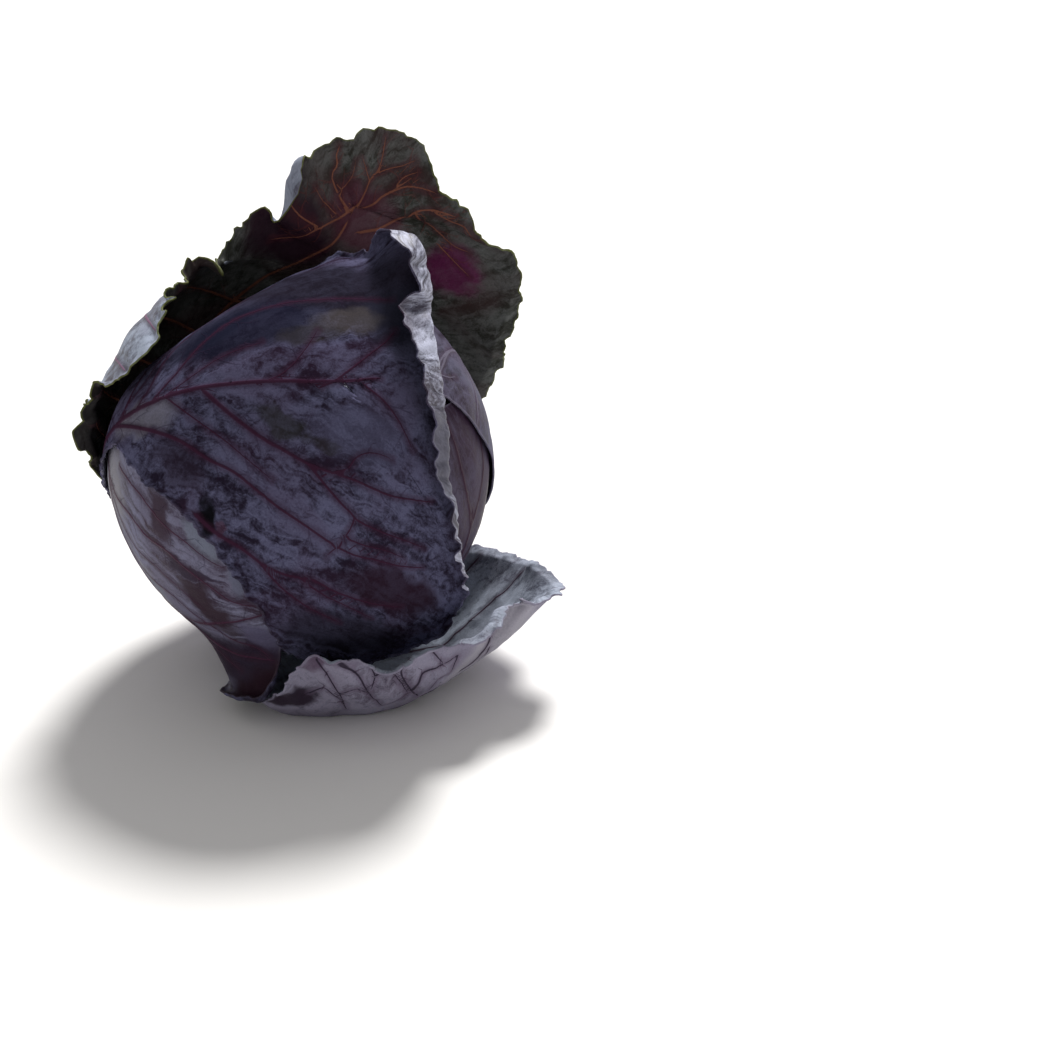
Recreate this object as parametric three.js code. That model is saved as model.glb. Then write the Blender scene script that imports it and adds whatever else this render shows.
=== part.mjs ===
// A head of red cabbage as picked, lying on its side: a dense heart, four leaves
// wrapped tightly round it, a loose leaf standing up behind, a loose leaf under it
// whose margin curls up in front, and the cut stump that all of them grow from.
// Millimetres, +Z up, the table at z = 0.

import * as THREE from "three";

// Driving dimensions
const headRadius = 84;
const layerPitch = 1.8;
const leafThickness = 0.8;
const stumpRadius = 12;
const stumpEnd = 86.5;
const stumpGap = 0.5;
const heartGap = 0.8;
const foldRadius = 2.6;
const tableBelowHead = 88.2;
const headCentre = new THREE.Vector3(-11, -3.55, tableBelowHead);

// The stem leaves the head backwards, to the left and a little down.
const stemDirection = new THREE.Vector3(-0.883, 0.311, -0.352).normalize();
// The side where the head is pressed flatter, and by what share of its radius.
const pressedSide = new THREE.Vector3(-0.529, 0.313, 0.789).normalize();
const pressedDepth = 0.18;
const degree = Math.PI / 180;

// Columns of a margin row: x and y in degrees of arc from the leaf's centre (x towards
// the tip), how far the margin stands off the head in mm, the height of its waves in mm,
// the width of its turned rim in mm and the angle through which the rim turns outwards.
// rightFeet and leftFeet: pairs of shares, along the margin and up the midrib, that say where
// on the midrib each column starts.
const leaves = [
  {
    name: "front_leaf",
    color: 0x45425a,
    roughness: 0.5,
    layer: 0,
    centre: [-0.05, -0.638, 0.768],
    towards: [0.883, -0.311, 0.352],
    power: 4,
    waves: [[17, 0.4], [29, 2.1]],
    columns: 26,
    rings: 10,
    rimRings: 3,
    rightFeet: [[0.02, 0], [0.44, 0.86], [0.8, 0.88], [0.93, 1]],
    midrib: [[-105.6, 0.5, 0], [-60, 3, 0], [-25, 3.5, 0], [0, 4, 0], [18, 3, 0], [29, 0, 1]],
    right: [
      [-105.6, 0.5, 0, 0, 1, 0],
      [-106, 6, 0, 0, 1, 0],
      [-97, 11, 0, 0, 1.5, 0],
      [-76, 10, 0.6, 0, 2, 0],
      [-56, 9, 0.8, 0.2, 2, 0],
      [-46.6, 15.6, 1, 0.3, 2, 0],
      [-35.9, 27.3, 1, 0.3, 2, 0],
      [-26.2, 35, 1, 0.4, 2, 0],
      [-17.5, 46, 1, 0.4, 2, 0],
      [-7.2, 63, 1.2, 0.4, 2, 0],
      [1, 84, 2, 0.5, 2, 0],
      [16, 99, 3, 0.5, 2, 0],
      [46, 94, 4, 0.5, 2, 30],
      [67, 76, 7, 0.8, 3, 120],
      [68, 56, 6, 0.8, 4, 150],
      [60.7, 46, 5, 1, 6, 155],
      [55.9, 38, 4, 1, 8, 158],
      [51.8, 30.8, 3, 1, 10, 160],
      [49.4, 21.5, 2.4, 1, 12, 160],
      [47.6, 13, 2.4, 1, 14, 158],
      [45.5, 4.7, 2.9, 1.2, 16, 153],
    ],
    left: [
      [-105.6, 0.5, 0, 0, 1, 0],
      [-106, -6, 0, 0, 1, 0],
      [-102, -15, 0, 0, 1.5, 0],
      [-96, -28, 0.2, 0, 2, 0],
      [-80, -52, 0.2, 0.1, 2, 0],
      [-56, -68, 0.5, 0.2, 2, 0],
      [-28, -76, 1, 0.5, 2, 0],
      [-4, -70, 2, 0.6, 2, 0],
      [13, -58.5, 5, 0.8, 3, 20],
      [24.6, -49.3, 10, 1, 6, 60],
      [29, -42, 21, 1.2, 12, 110],
      [31.5, -37.5, 24, 1.2, 15, 125],
      [34, -33.5, 19, 1.2, 17, 130],
      [38.5, -23.8, 10, 1.5, 18, 138],
      [41.5, -12, 6, 1.3, 17, 143],
      [44, -3, 4, 1.3, 17, 148],
      [45.5, 4.7, 2.9, 1.2, 16, 153],
    ],
  },
  {
    name: "side_leaf",
    color: 0x5d5670,
    roughness: 0.5,
    layer: 1,
    centre: [-0.817, -0.225, -0.531],
    towards: [0.883, -0.311, 0.352],
    power: 3,
    waves: [[11, 1.0], [19, 0.2]],
    columns: 20,
    rings: 8,
    rimRings: 2,
    midrib: [[-23.6, 0, 0], [0, 2, 0], [24, 3, 0], [42, 0, 0]],
    right: [
      [-23.6, 0, 0, 0, 1, 0],
      [-24, 6, 0, 0, 1, 0],
      [-20, 17, 0, 0, 1.5, 0],
      [-16, 30, 0, 0, 2, 0],
      [-2, 40, 0, 0.3, 2, 0],
      [13, 37, 3, 0.3, 2, 20],
      [24, 28.5, 10, 0.5, 4, 90],
      [32, 22, 15, 0.6, 7, 160],
      [40, 21, 17.5, 0.8, 8, 175],
      [46, 21.3, 17, 0.8, 8, 175],
      [50.5, 19, 9, 0.6, 5, 120],
      [57, 11, 0.5, 0.2, 2, 20],
      [66, 1, -0.3, 0, 2, 0],
      [73, -10, -0.7, 0, 2, 0],
    ],
    left: [
      [-23.6, 0, 0, 0, 1, 0],
      [-24, -6, 0, 0, 1, 0],
      [-21, -17, 0, 0, 1.5, 0],
      [-18, -34, 0, 0, 2, 0],
      [-6, -54, 0, 0, 2, 0],
      [12, -66, 0, 0, 2, 0],
      [30, -65, -0.2, 0, 2, 0],
      [46, -57, -0.3, 0, 2, 0],
      [64, -42, -0.5, 0, 2, 0],
      [72, -25, -0.8, 0, 2, 0],
      [73, -10, -0.7, 0, 2, 0],
    ],
  },
  {
    name: "far_leaf",
    color: 0x6f6580,
    roughness: 0.5,
    layer: 2,
    centre: [0.642, 0.588, 0.492],
    towards: [0.883, -0.311, 0.352],
    power: 5,
    waves: [[13, 0.7], [23, 1.9]],
    columns: 20,
    rings: 8,
    rimRings: 2,
    midrib: [[-114.4, 0, 0], [-70, -1, 0], [-30, 0, 0], [10, 2, 0], [34, 4, 0]],
    right: [
      [-114.4, 0, 0, 0, 1, 0],
      [-115, 6, 0, 0, 1, 0],
      [-106, 18, 0, 0, 1.5, 0],
      [-90, 40, 0.3, 0, 2, 0],
      [-55, 66, 0.5, 0.2, 2, 0],
      [-15, 76, 0.5, 0.2, 2, 0],
      [25, 66, 0.5, 0.2, 2, 0],
      [48, 44, 0.4, 0.2, 2, 0],
      [54.5, 24, 0, 0.2, 2, 0],
      [53, 8, 0.2, 0.2, 2, 0],
    ],
    left: [
      [-114.4, 0, 0, 0, 1, 0],
      [-115, -6, 0, 0, 1, 0],
      [-112, -24, 0, 0, 1.5, 0],
      [-94, -54, 0, 0, 2, 0],
      [-56, -74, 0, 0.2, 2, 0],
      [-14, -75, 0.2, 0.2, 2, 0],
      [20, -58, 0.3, 0.2, 2, 0],
      [38, -34, 0.3, 0.2, 2, 0],
      [49, -12, 0.2, 0.2, 2, 0],
      [53, 8, 0.2, 0.2, 2, 0],
    ],
  },
  {
    name: "under_leaf",
    color: 0x584a68,
    roughness: 0.5,
    layer: 3,
    centre: [0.717, -0.361, -0.596],
    towards: [0.883, -0.311, 0.352],
    power: 5,
    waves: [[12, 0.2], [19, 1.3]],
    columns: 20,
    rings: 8,
    rimRings: 2,
    midrib: [[-113, 0, 0], [-70, 0, 0], [-30, 2, 0], [10, 1, 0], [40, 0, 0]],
    right: [
      [-113, 0, 0, 0, 1, 0],
      [-113.4, 6, 0, 0, 1, 0],
      [-110, 24, 0, 0, 1.5, 0],
      [-90, 54, 0, 0, 2, 0],
      [-50, 72, 0, 0, 2, 0],
      [-8, 70, 0, 0, 2, 0],
      [28, 54, 0, 0, 2, 0],
      [54, 30, 0, 0, 2, 0],
      [66, 2, 0, 0, 2, 0],
    ],
    left: [
      [-113, 0, 0, 0, 1, 0],
      [-113.4, -6, 0, 0, 1, 0],
      [-104, -18, 0, 0, 1.5, 0],
      [-84, -44, 0, 0, 2, 0],
      [-46, -70, 0, 0, 2, 0],
      [-6, -74, 0, 0, 2, 0],
      [32, -60, 0, 0, 2, 0],
      [58, -34, 0, 0, 2, 0],
      [66, 2, 0, 0, 2, 0],
    ],
  },
  {
    name: "back_leaf",
    color: 0x4a3a3f,
    roughness: 0.6,
    layer: -2,
    centre: [-0.499, 0.774, 0.389],
    towards: [0.24, 0.441, 0.865],
    power: 1.5,
    waves: [[16, 0.5], [27, 1.2]],
    columns: 40,
    rings: 8,
    rimRings: 3,
    leftFeet: [[0.2, 0], [0.95, 1]],
    midrib: [[-46.8, 9.4, 0], [-20, 3, 1.5], [0, 0, 4], [20, -2, 6], [35, -5, 8], [44, -6, 14],
      [49, -4.5, 27]],
    right: [
      [-46.8, 9.4, 0, 0, 1, 0],
      [-48, 4, 0, 0, 1, 0],
      [-47, -6, 0, 0, 2, 0],
      [-44, -22, 1, 0.5, 3, 10],
      [-32, -46, 3, 1.5, 4, 30],
      [-12, -62, 5, 2.5, 5, 40],
      [8, -70, 8, 3, 6, 40],
      [26, -71, 12, 3, 6, 40],
      [42, -64, 19, 3, 6, 30],
      [53, -55, 26, 3, 6, 30],
      [60.2, -46.5, 34, 3, 5, 20],
      [63.8, -38.2, 40, 3, 4, 10],
      [64.6, -31.4, 41.4, 3, 3, 0],
      [64.2, -24, 36.5, 3, 3, 0],
      [64, -19, 40, 3, 3, 0],
      [62, -13.5, 42, 2.5, 3, 0],
      [61.2, -9.8, 47, 2.5, 3, 0],
      [59.2, -5.7, 54.7, 2, 3, 0],
      [54.8, 0, 56.6, 2, 3, 0],
    ],
    left: [
      [-46.8, 9.4, 0, 0, 1, 0],
      [-48.5, 15, 0.5, 0, 1, 0],
      [-49, 24, 0.8, 0, 2, 0],
      [-45, 33, 1.2, 0.5, 3, 10],
      [-36, 43, 1, 1.5, 6, 50],
      [-30, 45.2, 1.5, 2, 7, 60],
      [-21, 50, 1.5, 2, 7, 60],
      [-9, 62, 1.5, 1, 4, 30],
      [2, 69, 1, 0.4, 3, 10],
      [12, 69, 1, 0.4, 3, 10],
      [17, 60, 1.3, 0.6, 4, 20],
      [20, 42, 1.8, 1.5, 6, 60],
      [25, 30, 3, 2, 6, 70],
      [27.3, 18, 6, 2.5, 6, 60],
      [35.4, 13, 16.2, 2.5, 5, 20],
      [39.9, 9.9, 17.5, 2.5, 6, -60],
      [41.9, 10.8, 29.3, 2, 9, -130],
      [43.9, 9.8, 38.8, 2, 7, -110],
      [46.1, 7, 41.1, 2, 3, 0],
      [49.3, 4.5, 47.6, 2, 3, 0],
      [51.3, 2.8, 48.5, 2, 3, 0],
      [54.8, 0, 56.6, 2, 3, 0],
    ],
  },
  {
    name: "lower_leaf",
    color: 0x8a8498,
    roughness: 0.6,
    layer: -2,
    centre: [0.12, -0.22, -0.968],
    towards: [0.62, -0.6, -0.5],
    power: 2.2,
    waves: [[15, 0.9], [26, 0.1]],
    columns: 34,
    rings: 8,
    rimRings: 2,
    onTable: true,
    midrib: [[-68.6, -20.3, 0], [-50, -6, 3], [-30, 2, 10], [-8, 4, 18], [14, 4, 20], [30, 3, 22]],
    right: [
      [-68.6, -20.3, 0, 0, 1, 0],
      [-68.5, -15, 0, 0, 1, 0],
      [-66, -4, 0, 0, 1.5, 0],
      [-60, 14, 1, 0.5, 3, 0],
      [-46, 37, 2, 1.5, 4, 20],
      [-26, 50, 5, 2.5, 5, 20],
      [-4, 54, 9, 3, 5, 20],
      [18, 52, 14, 3, 5, 30],
      [33, 46, 20, 3, 5, 30],
      [43, 38, 27, 3, 5, 30],
      [48.5, 30, 29, 2.5, 6, 40],
      [50.5, 24, 25, 2.5, 6, 60],
      [50, 18, 20, 2.5, 6, 70],
      [50.4, 12, 17.8, 2.5, 7, 70],
      [50, 6, 17.3, 2.5, 7, 70],
      [47.5, 0.8, 18, 2.5, 7, 70],
      [45.9, -4, 17, 2.5, 6, 70],
    ],
    left: [
      [-68.6, -20.3, 0, 0, 1, 0],
      [-67, -24.5, 0, 0, 1, 0],
      [-60, -22.5, 1, 0, 1.5, 0],
      [-48, -17, 2, 0, 2, 0],
      [-32, -14, 3.5, 0.3, 2, 0],
      [-16.4, -15, 4.4, 0.4, 2, 0],
      [-3, -21, 9, 0.5, 2, 0],
      [8.8, -28.7, 14, 1, 3, 10],
      [18.5, -31.3, 12, 1.5, 4, 30],
      [26.7, -33.8, 10, 1.5, 4, 30],
      [33.5, -33.8, 9.6, 2, 4, 40],
      [36, -28, 12, 2, 4, 50],
      [38.5, -21, 15, 2, 4, 50],
      [41.7, -15, 17, 2, 5, 60],
      [45, -8.9, 15.6, 2, 6, 70],
      [45.9, -4, 17, 2.5, 6, 70],
    ],
  },
];

// How far the head swells or flattens in a direction, as a factor on its radius. The loose
// leaves keep their round where the head under them is pressed flatter.
function headForm(d, loose = false) {
  const pressed = loose ? 0 : pressedDepth * Math.max(0, d.dot(pressedSide)) ** 5;
  const flatAtStem = Math.max(0, -0.95 * d.x - 0.217 * d.y - 0.23 * d.z) ** 6;
  const flatBelow = Math.max(0, -0.6 * d.x - 0.34 * d.y - 0.72 * d.z) ** 6;
  const lumps = Math.sin(3 * d.x + 0.6) * Math.sin(2.6 * d.z - 0.4);
  return 1.005 - 0.045 * flatAtStem - 0.045 * flatBelow + 0.01 * lumps - pressed;
}

// A smooth curve through rows of numbers whose first two are a place, sampled evenly.
function spline(rows, count) {
  const ends = [rows[0].map((v, k) => 2 * v - rows[1][k]),
    rows.at(-1).map((v, k) => 2 * v - rows.at(-2)[k])];
  const all = [ends[0], ...rows, ends[1]];
  const knots = [0];
  for (let i = 1; i < all.length; i++) {
    const step = Math.hypot(all[i][0] - all[i - 1][0], all[i][1] - all[i - 1][1]);
    knots.push(knots[i - 1] + Math.sqrt(step));
  }
  const at = (i, t) => {
    const blend = (a, b, ta, tb) => a.map((v, k) => (v * (tb - t) + b[k] * (t - ta)) / (tb - ta));
    const [p, q, r, s] = all.slice(i - 1, i + 3);
    const [tp, tq, tr, ts] = knots.slice(i - 1, i + 3);
    const pq = blend(p, q, tp, tq);
    const qr = blend(q, r, tq, tr);
    const rs = blend(r, s, tr, ts);
    return blend(blend(pq, qr, tp, tr), blend(qr, rs, tq, ts), tq, tr);
  };
  const fine = [];
  const stepsPerSpan = 24;
  for (let i = 1; i < all.length - 2; i++) {
    for (let k = 0; k < stepsPerSpan; k++) {
      fine.push(at(i, knots[i] + ((knots[i + 1] - knots[i]) * k) / stepsPerSpan));
    }
  }
  fine.push(rows.at(-1));
  const along = [0];
  for (let i = 1; i < fine.length; i++) {
    const step = Math.hypot(fine[i][0] - fine[i - 1][0], fine[i][1] - fine[i - 1][1]);
    along.push(along[i - 1] + step);
  }
  const samples = [];
  for (let n = 0, i = 1; n <= count; n++) {
    const target = (along.at(-1) * n) / count;
    while (i < fine.length - 1 && along[i] < target) i++;
    const share = (target - along[i - 1]) / (along[i] - along[i - 1]);
    samples.push(fine[i].map((v, k) => fine[i - 1][k] + (v - fine[i - 1][k]) * share));
  }
  return samples;
}

// Turns a place on a leaf, in degrees from its centre, and a distance off the head into a point.
function placer(leaf) {
  const centre = new THREE.Vector3(...leaf.centre).normalize();
  const tip = new THREE.Vector3(...leaf.towards);
  tip.addScaledVector(centre, -tip.dot(centre)).normalize();
  const side = new THREE.Vector3().crossVectors(tip, centre);
  const radius = headRadius - leafThickness / 2 - leaf.layer * layerPitch;
  const clasp = (stumpRadius + stumpGap) / headRadius;
  return (x, y, stand) => {
    const reach = Math.hypot(x, y) * degree;
    const bearing = Math.atan2(y, x);
    const d = centre.clone().multiplyScalar(Math.cos(reach));
    d.addScaledVector(tip, Math.sin(reach) * Math.cos(bearing));
    d.addScaledVector(side, Math.sin(reach) * Math.sin(bearing));
    const fromStem = d.angleTo(stemDirection);
    if (fromStem < clasp) {
      const away = new THREE.Vector3().crossVectors(stemDirection, d).normalize();
      d.applyAxisAngle(away, clasp - fromStem);
    }
    return d.clone().multiplyScalar(radius * headForm(d, leaf.layer < 0) + stand);
  };
}

// The middle surface of a leaf: rings of points from the midrib out to the margin and over its rim.
function leafSheet(leaf) {
  const place = placer(leaf);
  const m = leaf.columns;
  const { rightFeet = [[0.2, 0], [0.8, 1]], leftFeet = [[0.2, 0], [0.8, 1]] } = leaf;
  const slowest = (pairs) => Math.min(...pairs.slice(1).map(
    ([j, foot], i) => (j - pairs[i][0]) / (foot - pairs[i][1])));
  const feet = Math.floor(m * Math.min(slowest(rightFeet), slowest(leftFeet)));
  const footOf = (c) => {
    const pairs = c <= m ? rightFeet : leftFeet;
    const j = Math.min(c, 2 * m - c) / m;
    const i = pairs.slice(1, -1).filter(([from]) => j > from).length;
    const [[a, low], [b, high]] = [pairs[i], pairs[i + 1]];
    const part = Math.max(0, Math.min(1, (j - a) / (b - a)));
    return Math.round(feet * (low + (high - low) * part));
  };
  const midrib = spline(leaf.midrib, feet);
  const margin = [...spline(leaf.right, m), ...spline(leaf.left, m).reverse().slice(1, -1)];
  const loop = margin.length;
  const points = midrib.map(([x, y, stand]) => place(x, y, stand));
  const index = (ring, c) => {
    const j = (c + loop) % loop;
    return ring === 0 ? footOf(j) : midrib.length + (ring - 1) * loop + j;
  };
  for (let ring = 1; ring <= leaf.rings; ring++) {
    const share = ring / leaf.rings;
    margin.forEach(([x, y, stand], c) => {
      const foot = midrib[footOf(c)];
      const lift = foot[2] + (stand - foot[2]) * share ** leaf.power;
      points.push(place(foot[0] + (x - foot[0]) * share, foot[1] + (y - foot[1]) * share, lift));
    });
  }
  const triangles = (last) => {
    const faces = [];
    for (let ring = 0; ring < last; ring++) {
      for (let c = 0; c < loop; c++) {
        const [a, b] = [index(ring, c), index(ring, c + 1)];
        const [d, e] = [index(ring + 1, c), index(ring + 1, c + 1)];
        if (a !== b) faces.push(a, b, e);
        faces.push(a, e, d);
      }
    }
    return faces;
  };
  // Waves, which grow towards the margin, and then the rim that carries them on
  const normals = normalsOf(points, triangles(leaf.rings));
  margin.forEach((row, c) => {
    const turn = (c / loop) * 2 * Math.PI;
    const wave = leaf.waves.reduce((sum, [n, phase]) => sum + Math.sin(n * turn + phase), 0) / 2;
    for (let ring = 1; ring <= leaf.rings; ring++) {
      const k = index(ring, c);
      points[k].addScaledVector(normals[k], row[3] * wave * (ring / leaf.rings) ** 4);
    }
  });
  const waved = normalsOf(points, triangles(leaf.rings));
  const rims = margin.map((row, c) => {
    const edge = points[index(leaf.rings, c)];
    const outward = edge.clone().sub(points[index(leaf.rings - 1, c)]).normalize();
    const before = points[index(leaf.rings, c - 1)];
    const along = points[index(leaf.rings, c + 1)].clone().sub(before).normalize();
    outward.addScaledVector(along, -0.9 * outward.dot(along)).normalize();
    // the sheet's faces look at the head, so its normal is turned round
    const normal = waved[index(leaf.rings, c)].clone().negate();
    return { edge, outward, normal, width: row[4], turn: row[5] * degree };
  });
  for (let ring = 1; ring <= leaf.rimRings; ring++) {
    for (const { edge, outward, normal, width, turn } of rims) {
      const run = (width * ring) / leaf.rimRings;
      const angle = Math.sign(turn) * Math.min(run / foldRadius, Math.abs(turn));
      const straight = run - Math.abs(angle) * foldRadius;
      const forward = foldRadius * Math.sin(Math.abs(angle)) + straight * Math.cos(angle);
      const rise = Math.sign(turn) * foldRadius * (1 - Math.cos(angle));
      const up = rise + straight * Math.sin(angle);
      points.push(edge.clone().addScaledVector(outward, forward).addScaledVector(normal, up));
    }
  }
  const rings = leaf.rings + leaf.rimRings;
  const border = margin.map((_, c) => index(rings, c));
  return { points, faces: triangles(rings), border };
}

// Unit normals of the points of an indexed surface.
function normalsOf(points, faces) {
  const geometry = new THREE.BufferGeometry().setFromPoints(points);
  geometry.setIndex(faces);
  geometry.computeVertexNormals();
  const normal = geometry.getAttribute("normal");
  return points.map((_, i) => new THREE.Vector3().fromBufferAttribute(normal, i));
}

// A leaf as a closed solid: its middle surface moved half a thickness each way, joined round the border.
function leafGeometry(leaf) {
  const { points, faces, border } = leafSheet(leaf);
  const normals = normalsOf(points, faces);
  const shifted = (side) => points.map((p, i) => {
    const q = p.clone().addScaledVector(normals[i], (side * leafThickness) / 2);
    if (leaf.onTable) {
      const lowest = -tableBelowHead + (normals[i].z * side < 0 ? 0 : leafThickness);
      q.z = Math.max(q.z, lowest);
    }
    return q;
  });
  const outer = shifted(1);
  const inner = shifted(-1);
  const n = points.length;
  const triangles = [...faces];
  for (let i = 0; i < faces.length; i += 3) {
    triangles.push(faces[i] + n, faces[i + 2] + n, faces[i + 1] + n);
  }
  border.forEach((a, c) => {
    const b = border[(c + 1) % border.length];
    triangles.push(a, b, b + n, a, b + n, a + n);
  });
  const geometry = new THREE.BufferGeometry().setFromPoints([...outer, ...inner]);
  geometry.setIndex(triangles);
  return geometry;
}

// The packed inner leaves, one dense body.
function heartGeometry() {
  const outermostInner = headRadius - leafThickness - 3 * layerPitch;
  const geometry = new THREE.SphereGeometry(1, 30, 18);
  const position = geometry.getAttribute("position");
  const d = new THREE.Vector3();
  for (let i = 0; i < position.count; i++) {
    d.fromBufferAttribute(position, i).normalize();
    d.multiplyScalar((outermostInner - heartGap) * headForm(d));
    position.setXYZ(i, d.x, d.y, d.z);
  }
  return geometry;
}

// The cut stump, from just clear of the heart to its flat cut face.
function stumpGeometry() {
  const start = headRadius * headForm(stemDirection) - 3 * layerPitch;
  const profile = [
    new THREE.Vector2(0, start),
    new THREE.Vector2(stumpRadius - 1, start - 0.8),
    new THREE.Vector2(stumpRadius, start + 2),
    new THREE.Vector2(stumpRadius - 0.6, stumpEnd - 1.5),
    new THREE.Vector2(stumpRadius - 2, stumpEnd),
    new THREE.Vector2(0, stumpEnd),
  ];
  return new THREE.LatheGeometry(profile, 20);
}

const cabbage = new THREE.Group();
cabbage.position.copy(headCentre);

function addPiece(name, geometry, color, roughness) {
  const material = new THREE.MeshStandardMaterial({ color, roughness, metalness: 0 });
  const mesh = new THREE.Mesh(geometry, material);
  mesh.name = name;
  cabbage.add(mesh);
  return mesh;
}

for (const leaf of leaves) {
  addPiece(leaf.name, leafGeometry(leaf), leaf.color, leaf.roughness);
}
addPiece("heart", heartGeometry(), 0x6b3f6e, 0.5);
const stump = addPiece("stump", stumpGeometry(), 0xcfc3b4, 0.7);
stump.quaternion.setFromUnitVectors(new THREE.Vector3(0, 1, 0), stemDirection);

export default cabbage;
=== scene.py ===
import math

import bpy
import numpy as np
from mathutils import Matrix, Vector, kdtree, noise


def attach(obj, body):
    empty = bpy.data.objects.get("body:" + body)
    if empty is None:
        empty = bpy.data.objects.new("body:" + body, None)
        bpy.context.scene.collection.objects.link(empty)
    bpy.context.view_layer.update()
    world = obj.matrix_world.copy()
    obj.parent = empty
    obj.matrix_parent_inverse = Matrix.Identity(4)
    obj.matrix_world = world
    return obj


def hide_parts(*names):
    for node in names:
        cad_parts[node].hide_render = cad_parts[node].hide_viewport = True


# A head of red cabbage lying on its side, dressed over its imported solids.
# Leaf rows are the same as in the part's source: degrees of arc on the head and mm off it.
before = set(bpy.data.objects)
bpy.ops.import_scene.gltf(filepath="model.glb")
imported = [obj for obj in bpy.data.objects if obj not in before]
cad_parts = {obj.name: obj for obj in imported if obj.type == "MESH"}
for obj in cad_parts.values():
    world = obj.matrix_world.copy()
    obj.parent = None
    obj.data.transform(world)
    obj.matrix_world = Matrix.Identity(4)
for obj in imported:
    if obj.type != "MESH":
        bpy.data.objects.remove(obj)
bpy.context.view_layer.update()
mm = 0.001

head = {
    "radius": 84,
    "pitch": 1.8,
    "thickness": 0.8,
    "foldRadius": 2.6,
    "centre": (-11, -3.55, 88.2),
    "stem": (-0.883, 0.311, -0.352),
    "stumpRadius": 12,
    "stumpGap": 0.5,
    "pressedSide": (-0.529, 0.313, 0.789),
    "pressedDepth": 0.18,
}
leafShape = {
    "ringSpacing": 1.2,      # over 1 brings the rings closer together at the midrib
    "waveRise": 4,           # how late towards the margin the waves and frills grow
    "frillRise": 7,
    "fixedBase": 0.12,       # share of the margin by the stem that has no frill
    "squareRim": 0.9,        # how square to the margin the rim turns
}
veinShape = {
    "step": 0.45,
    "taperEnd": 6,
    "fineHalf": 0.42,
    "fineAngle": 48,
    "finestHalf": 0.26,
    "finestEvery": 6,
    "finestLength": 9,
    "finestAngle": 55,
}
headCentre = np.array(head["centre"])
mmPerDegree = head["radius"] * math.pi / 180
stem = np.array(head["stem"]) / np.linalg.norm(head["stem"])
pressedSide = np.array(head["pressedSide"]) / np.linalg.norm(head["pressedSide"])


# shaping helpers

def unit(v):
    return v / np.maximum(np.linalg.norm(v, axis=-1, keepdims=True), 1e-9)


def headForm(d, loose=False):
    # how far the head swells or flattens in a direction
    x, y, z = d[..., 0], d[..., 1], d[..., 2]
    atStem = np.maximum(0, -0.95 * x - 0.217 * y - 0.23 * z) ** 6
    below = np.maximum(0, -0.6 * x - 0.34 * y - 0.72 * z) ** 6
    lumps = np.sin(3 * x + 0.6) * np.sin(2.6 * z - 0.4)
    pressed = 0 if loose else head["pressedDepth"] * np.maximum(0, d @ pressedSide) ** 5
    return 1.005 - 0.045 * atStem - 0.045 * below + 0.01 * lumps - pressed


def smoothRows(rows, shares):
    # a smooth curve through rows whose first two numbers are a place, read at even shares
    rows = np.array(rows, float)
    rows = np.vstack([2 * rows[0] - rows[1], rows, 2 * rows[-1] - rows[-2]])
    steps = np.sqrt(np.hypot(*(rows[1:, :2] - rows[:-1, :2]).T))
    knots = np.concatenate([[0], np.cumsum(steps)])
    fine = []
    for i in range(1, len(rows) - 2):
        t = knots[i] + (knots[i + 1] - knots[i]) * np.arange(24)[:, None] / 24
        p, q, r, s = rows[i - 1:i + 3]
        tp, tq, tr, ts = knots[i - 1:i + 3]
        pq = (p * (tq - t) + q * (t - tp)) / (tq - tp)
        qr = (q * (tr - t) + r * (t - tq)) / (tr - tq)
        rs = (r * (ts - t) + s * (t - tr)) / (ts - tr)
        a = (pq * (tr - t) + qr * (t - tp)) / (tr - tp)
        b = (qr * (ts - t) + rs * (t - tq)) / (ts - tq)
        fine.append((a * (tr - t) + b * (t - tq)) / (tr - tq))
    fine = np.vstack(fine + [rows[-2:-1]])
    along = np.concatenate([[0], np.cumsum(np.hypot(*(fine[1:, :2] - fine[:-1, :2]).T))])
    return np.stack([np.interp(shares * along[-1], along, fine[:, k])
                     for k in range(fine.shape[1])], -1)


def leafAxes(leaf):
    centre = unit(np.array(leaf["centre"], float))
    tip = np.array(leaf["towards"], float)
    tip = unit(tip - centre * (tip @ centre))
    return centre, tip, np.cross(tip, centre)


def placeOnHead(leaf, x, y, stand):
    # degrees from the leaf's centre and mm off its layer, to mm from the head's centre
    centre, tip, side = leafAxes(leaf)
    reach, bearing = np.radians(np.hypot(x, y)), np.arctan2(y, x)
    d = np.cos(reach)[..., None] * centre
    d = d + (np.sin(reach) * np.cos(bearing))[..., None] * tip
    d = d + (np.sin(reach) * np.sin(bearing))[..., None] * side
    clasp = (head["stumpRadius"] + head["stumpGap"]) / head["radius"]
    fromStem = np.arccos(np.clip(d @ stem, -1, 1))
    across = unit(d - (d @ stem)[..., None] * stem)
    ring = math.cos(clasp) * stem + math.sin(clasp) * across
    d = np.where((fromStem < clasp)[..., None], ring, d)
    radius = head["radius"] - head["thickness"] / 2 - leaf["layer"] * head["pitch"]
    return d * (radius * headForm(d, leaf["layer"] < 0) + stand)[..., None]


def gridNormals(p):
    # normals of a surface given as rings of points that close on themselves
    around = np.roll(p, -1, 1) - np.roll(p, 1, 1)
    out = np.gradient(p, axis=0)
    n = np.cross(around, out)
    n[0] = n[1]
    n = unit(n)
    middle = p.shape[0] // 2
    facing = np.sum(n[middle] * unit(p[middle]))
    return n if facing > 0 else -n


def ripple(points, size, seed):
    # smooth noise from -1 to 1 at points in mm
    flat = points.reshape(-1, 3) / size + seed * 17.31
    values = [noise.noise(Vector(q)) for q in flat]
    return np.array(values).reshape(points.shape[:-1])


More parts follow.
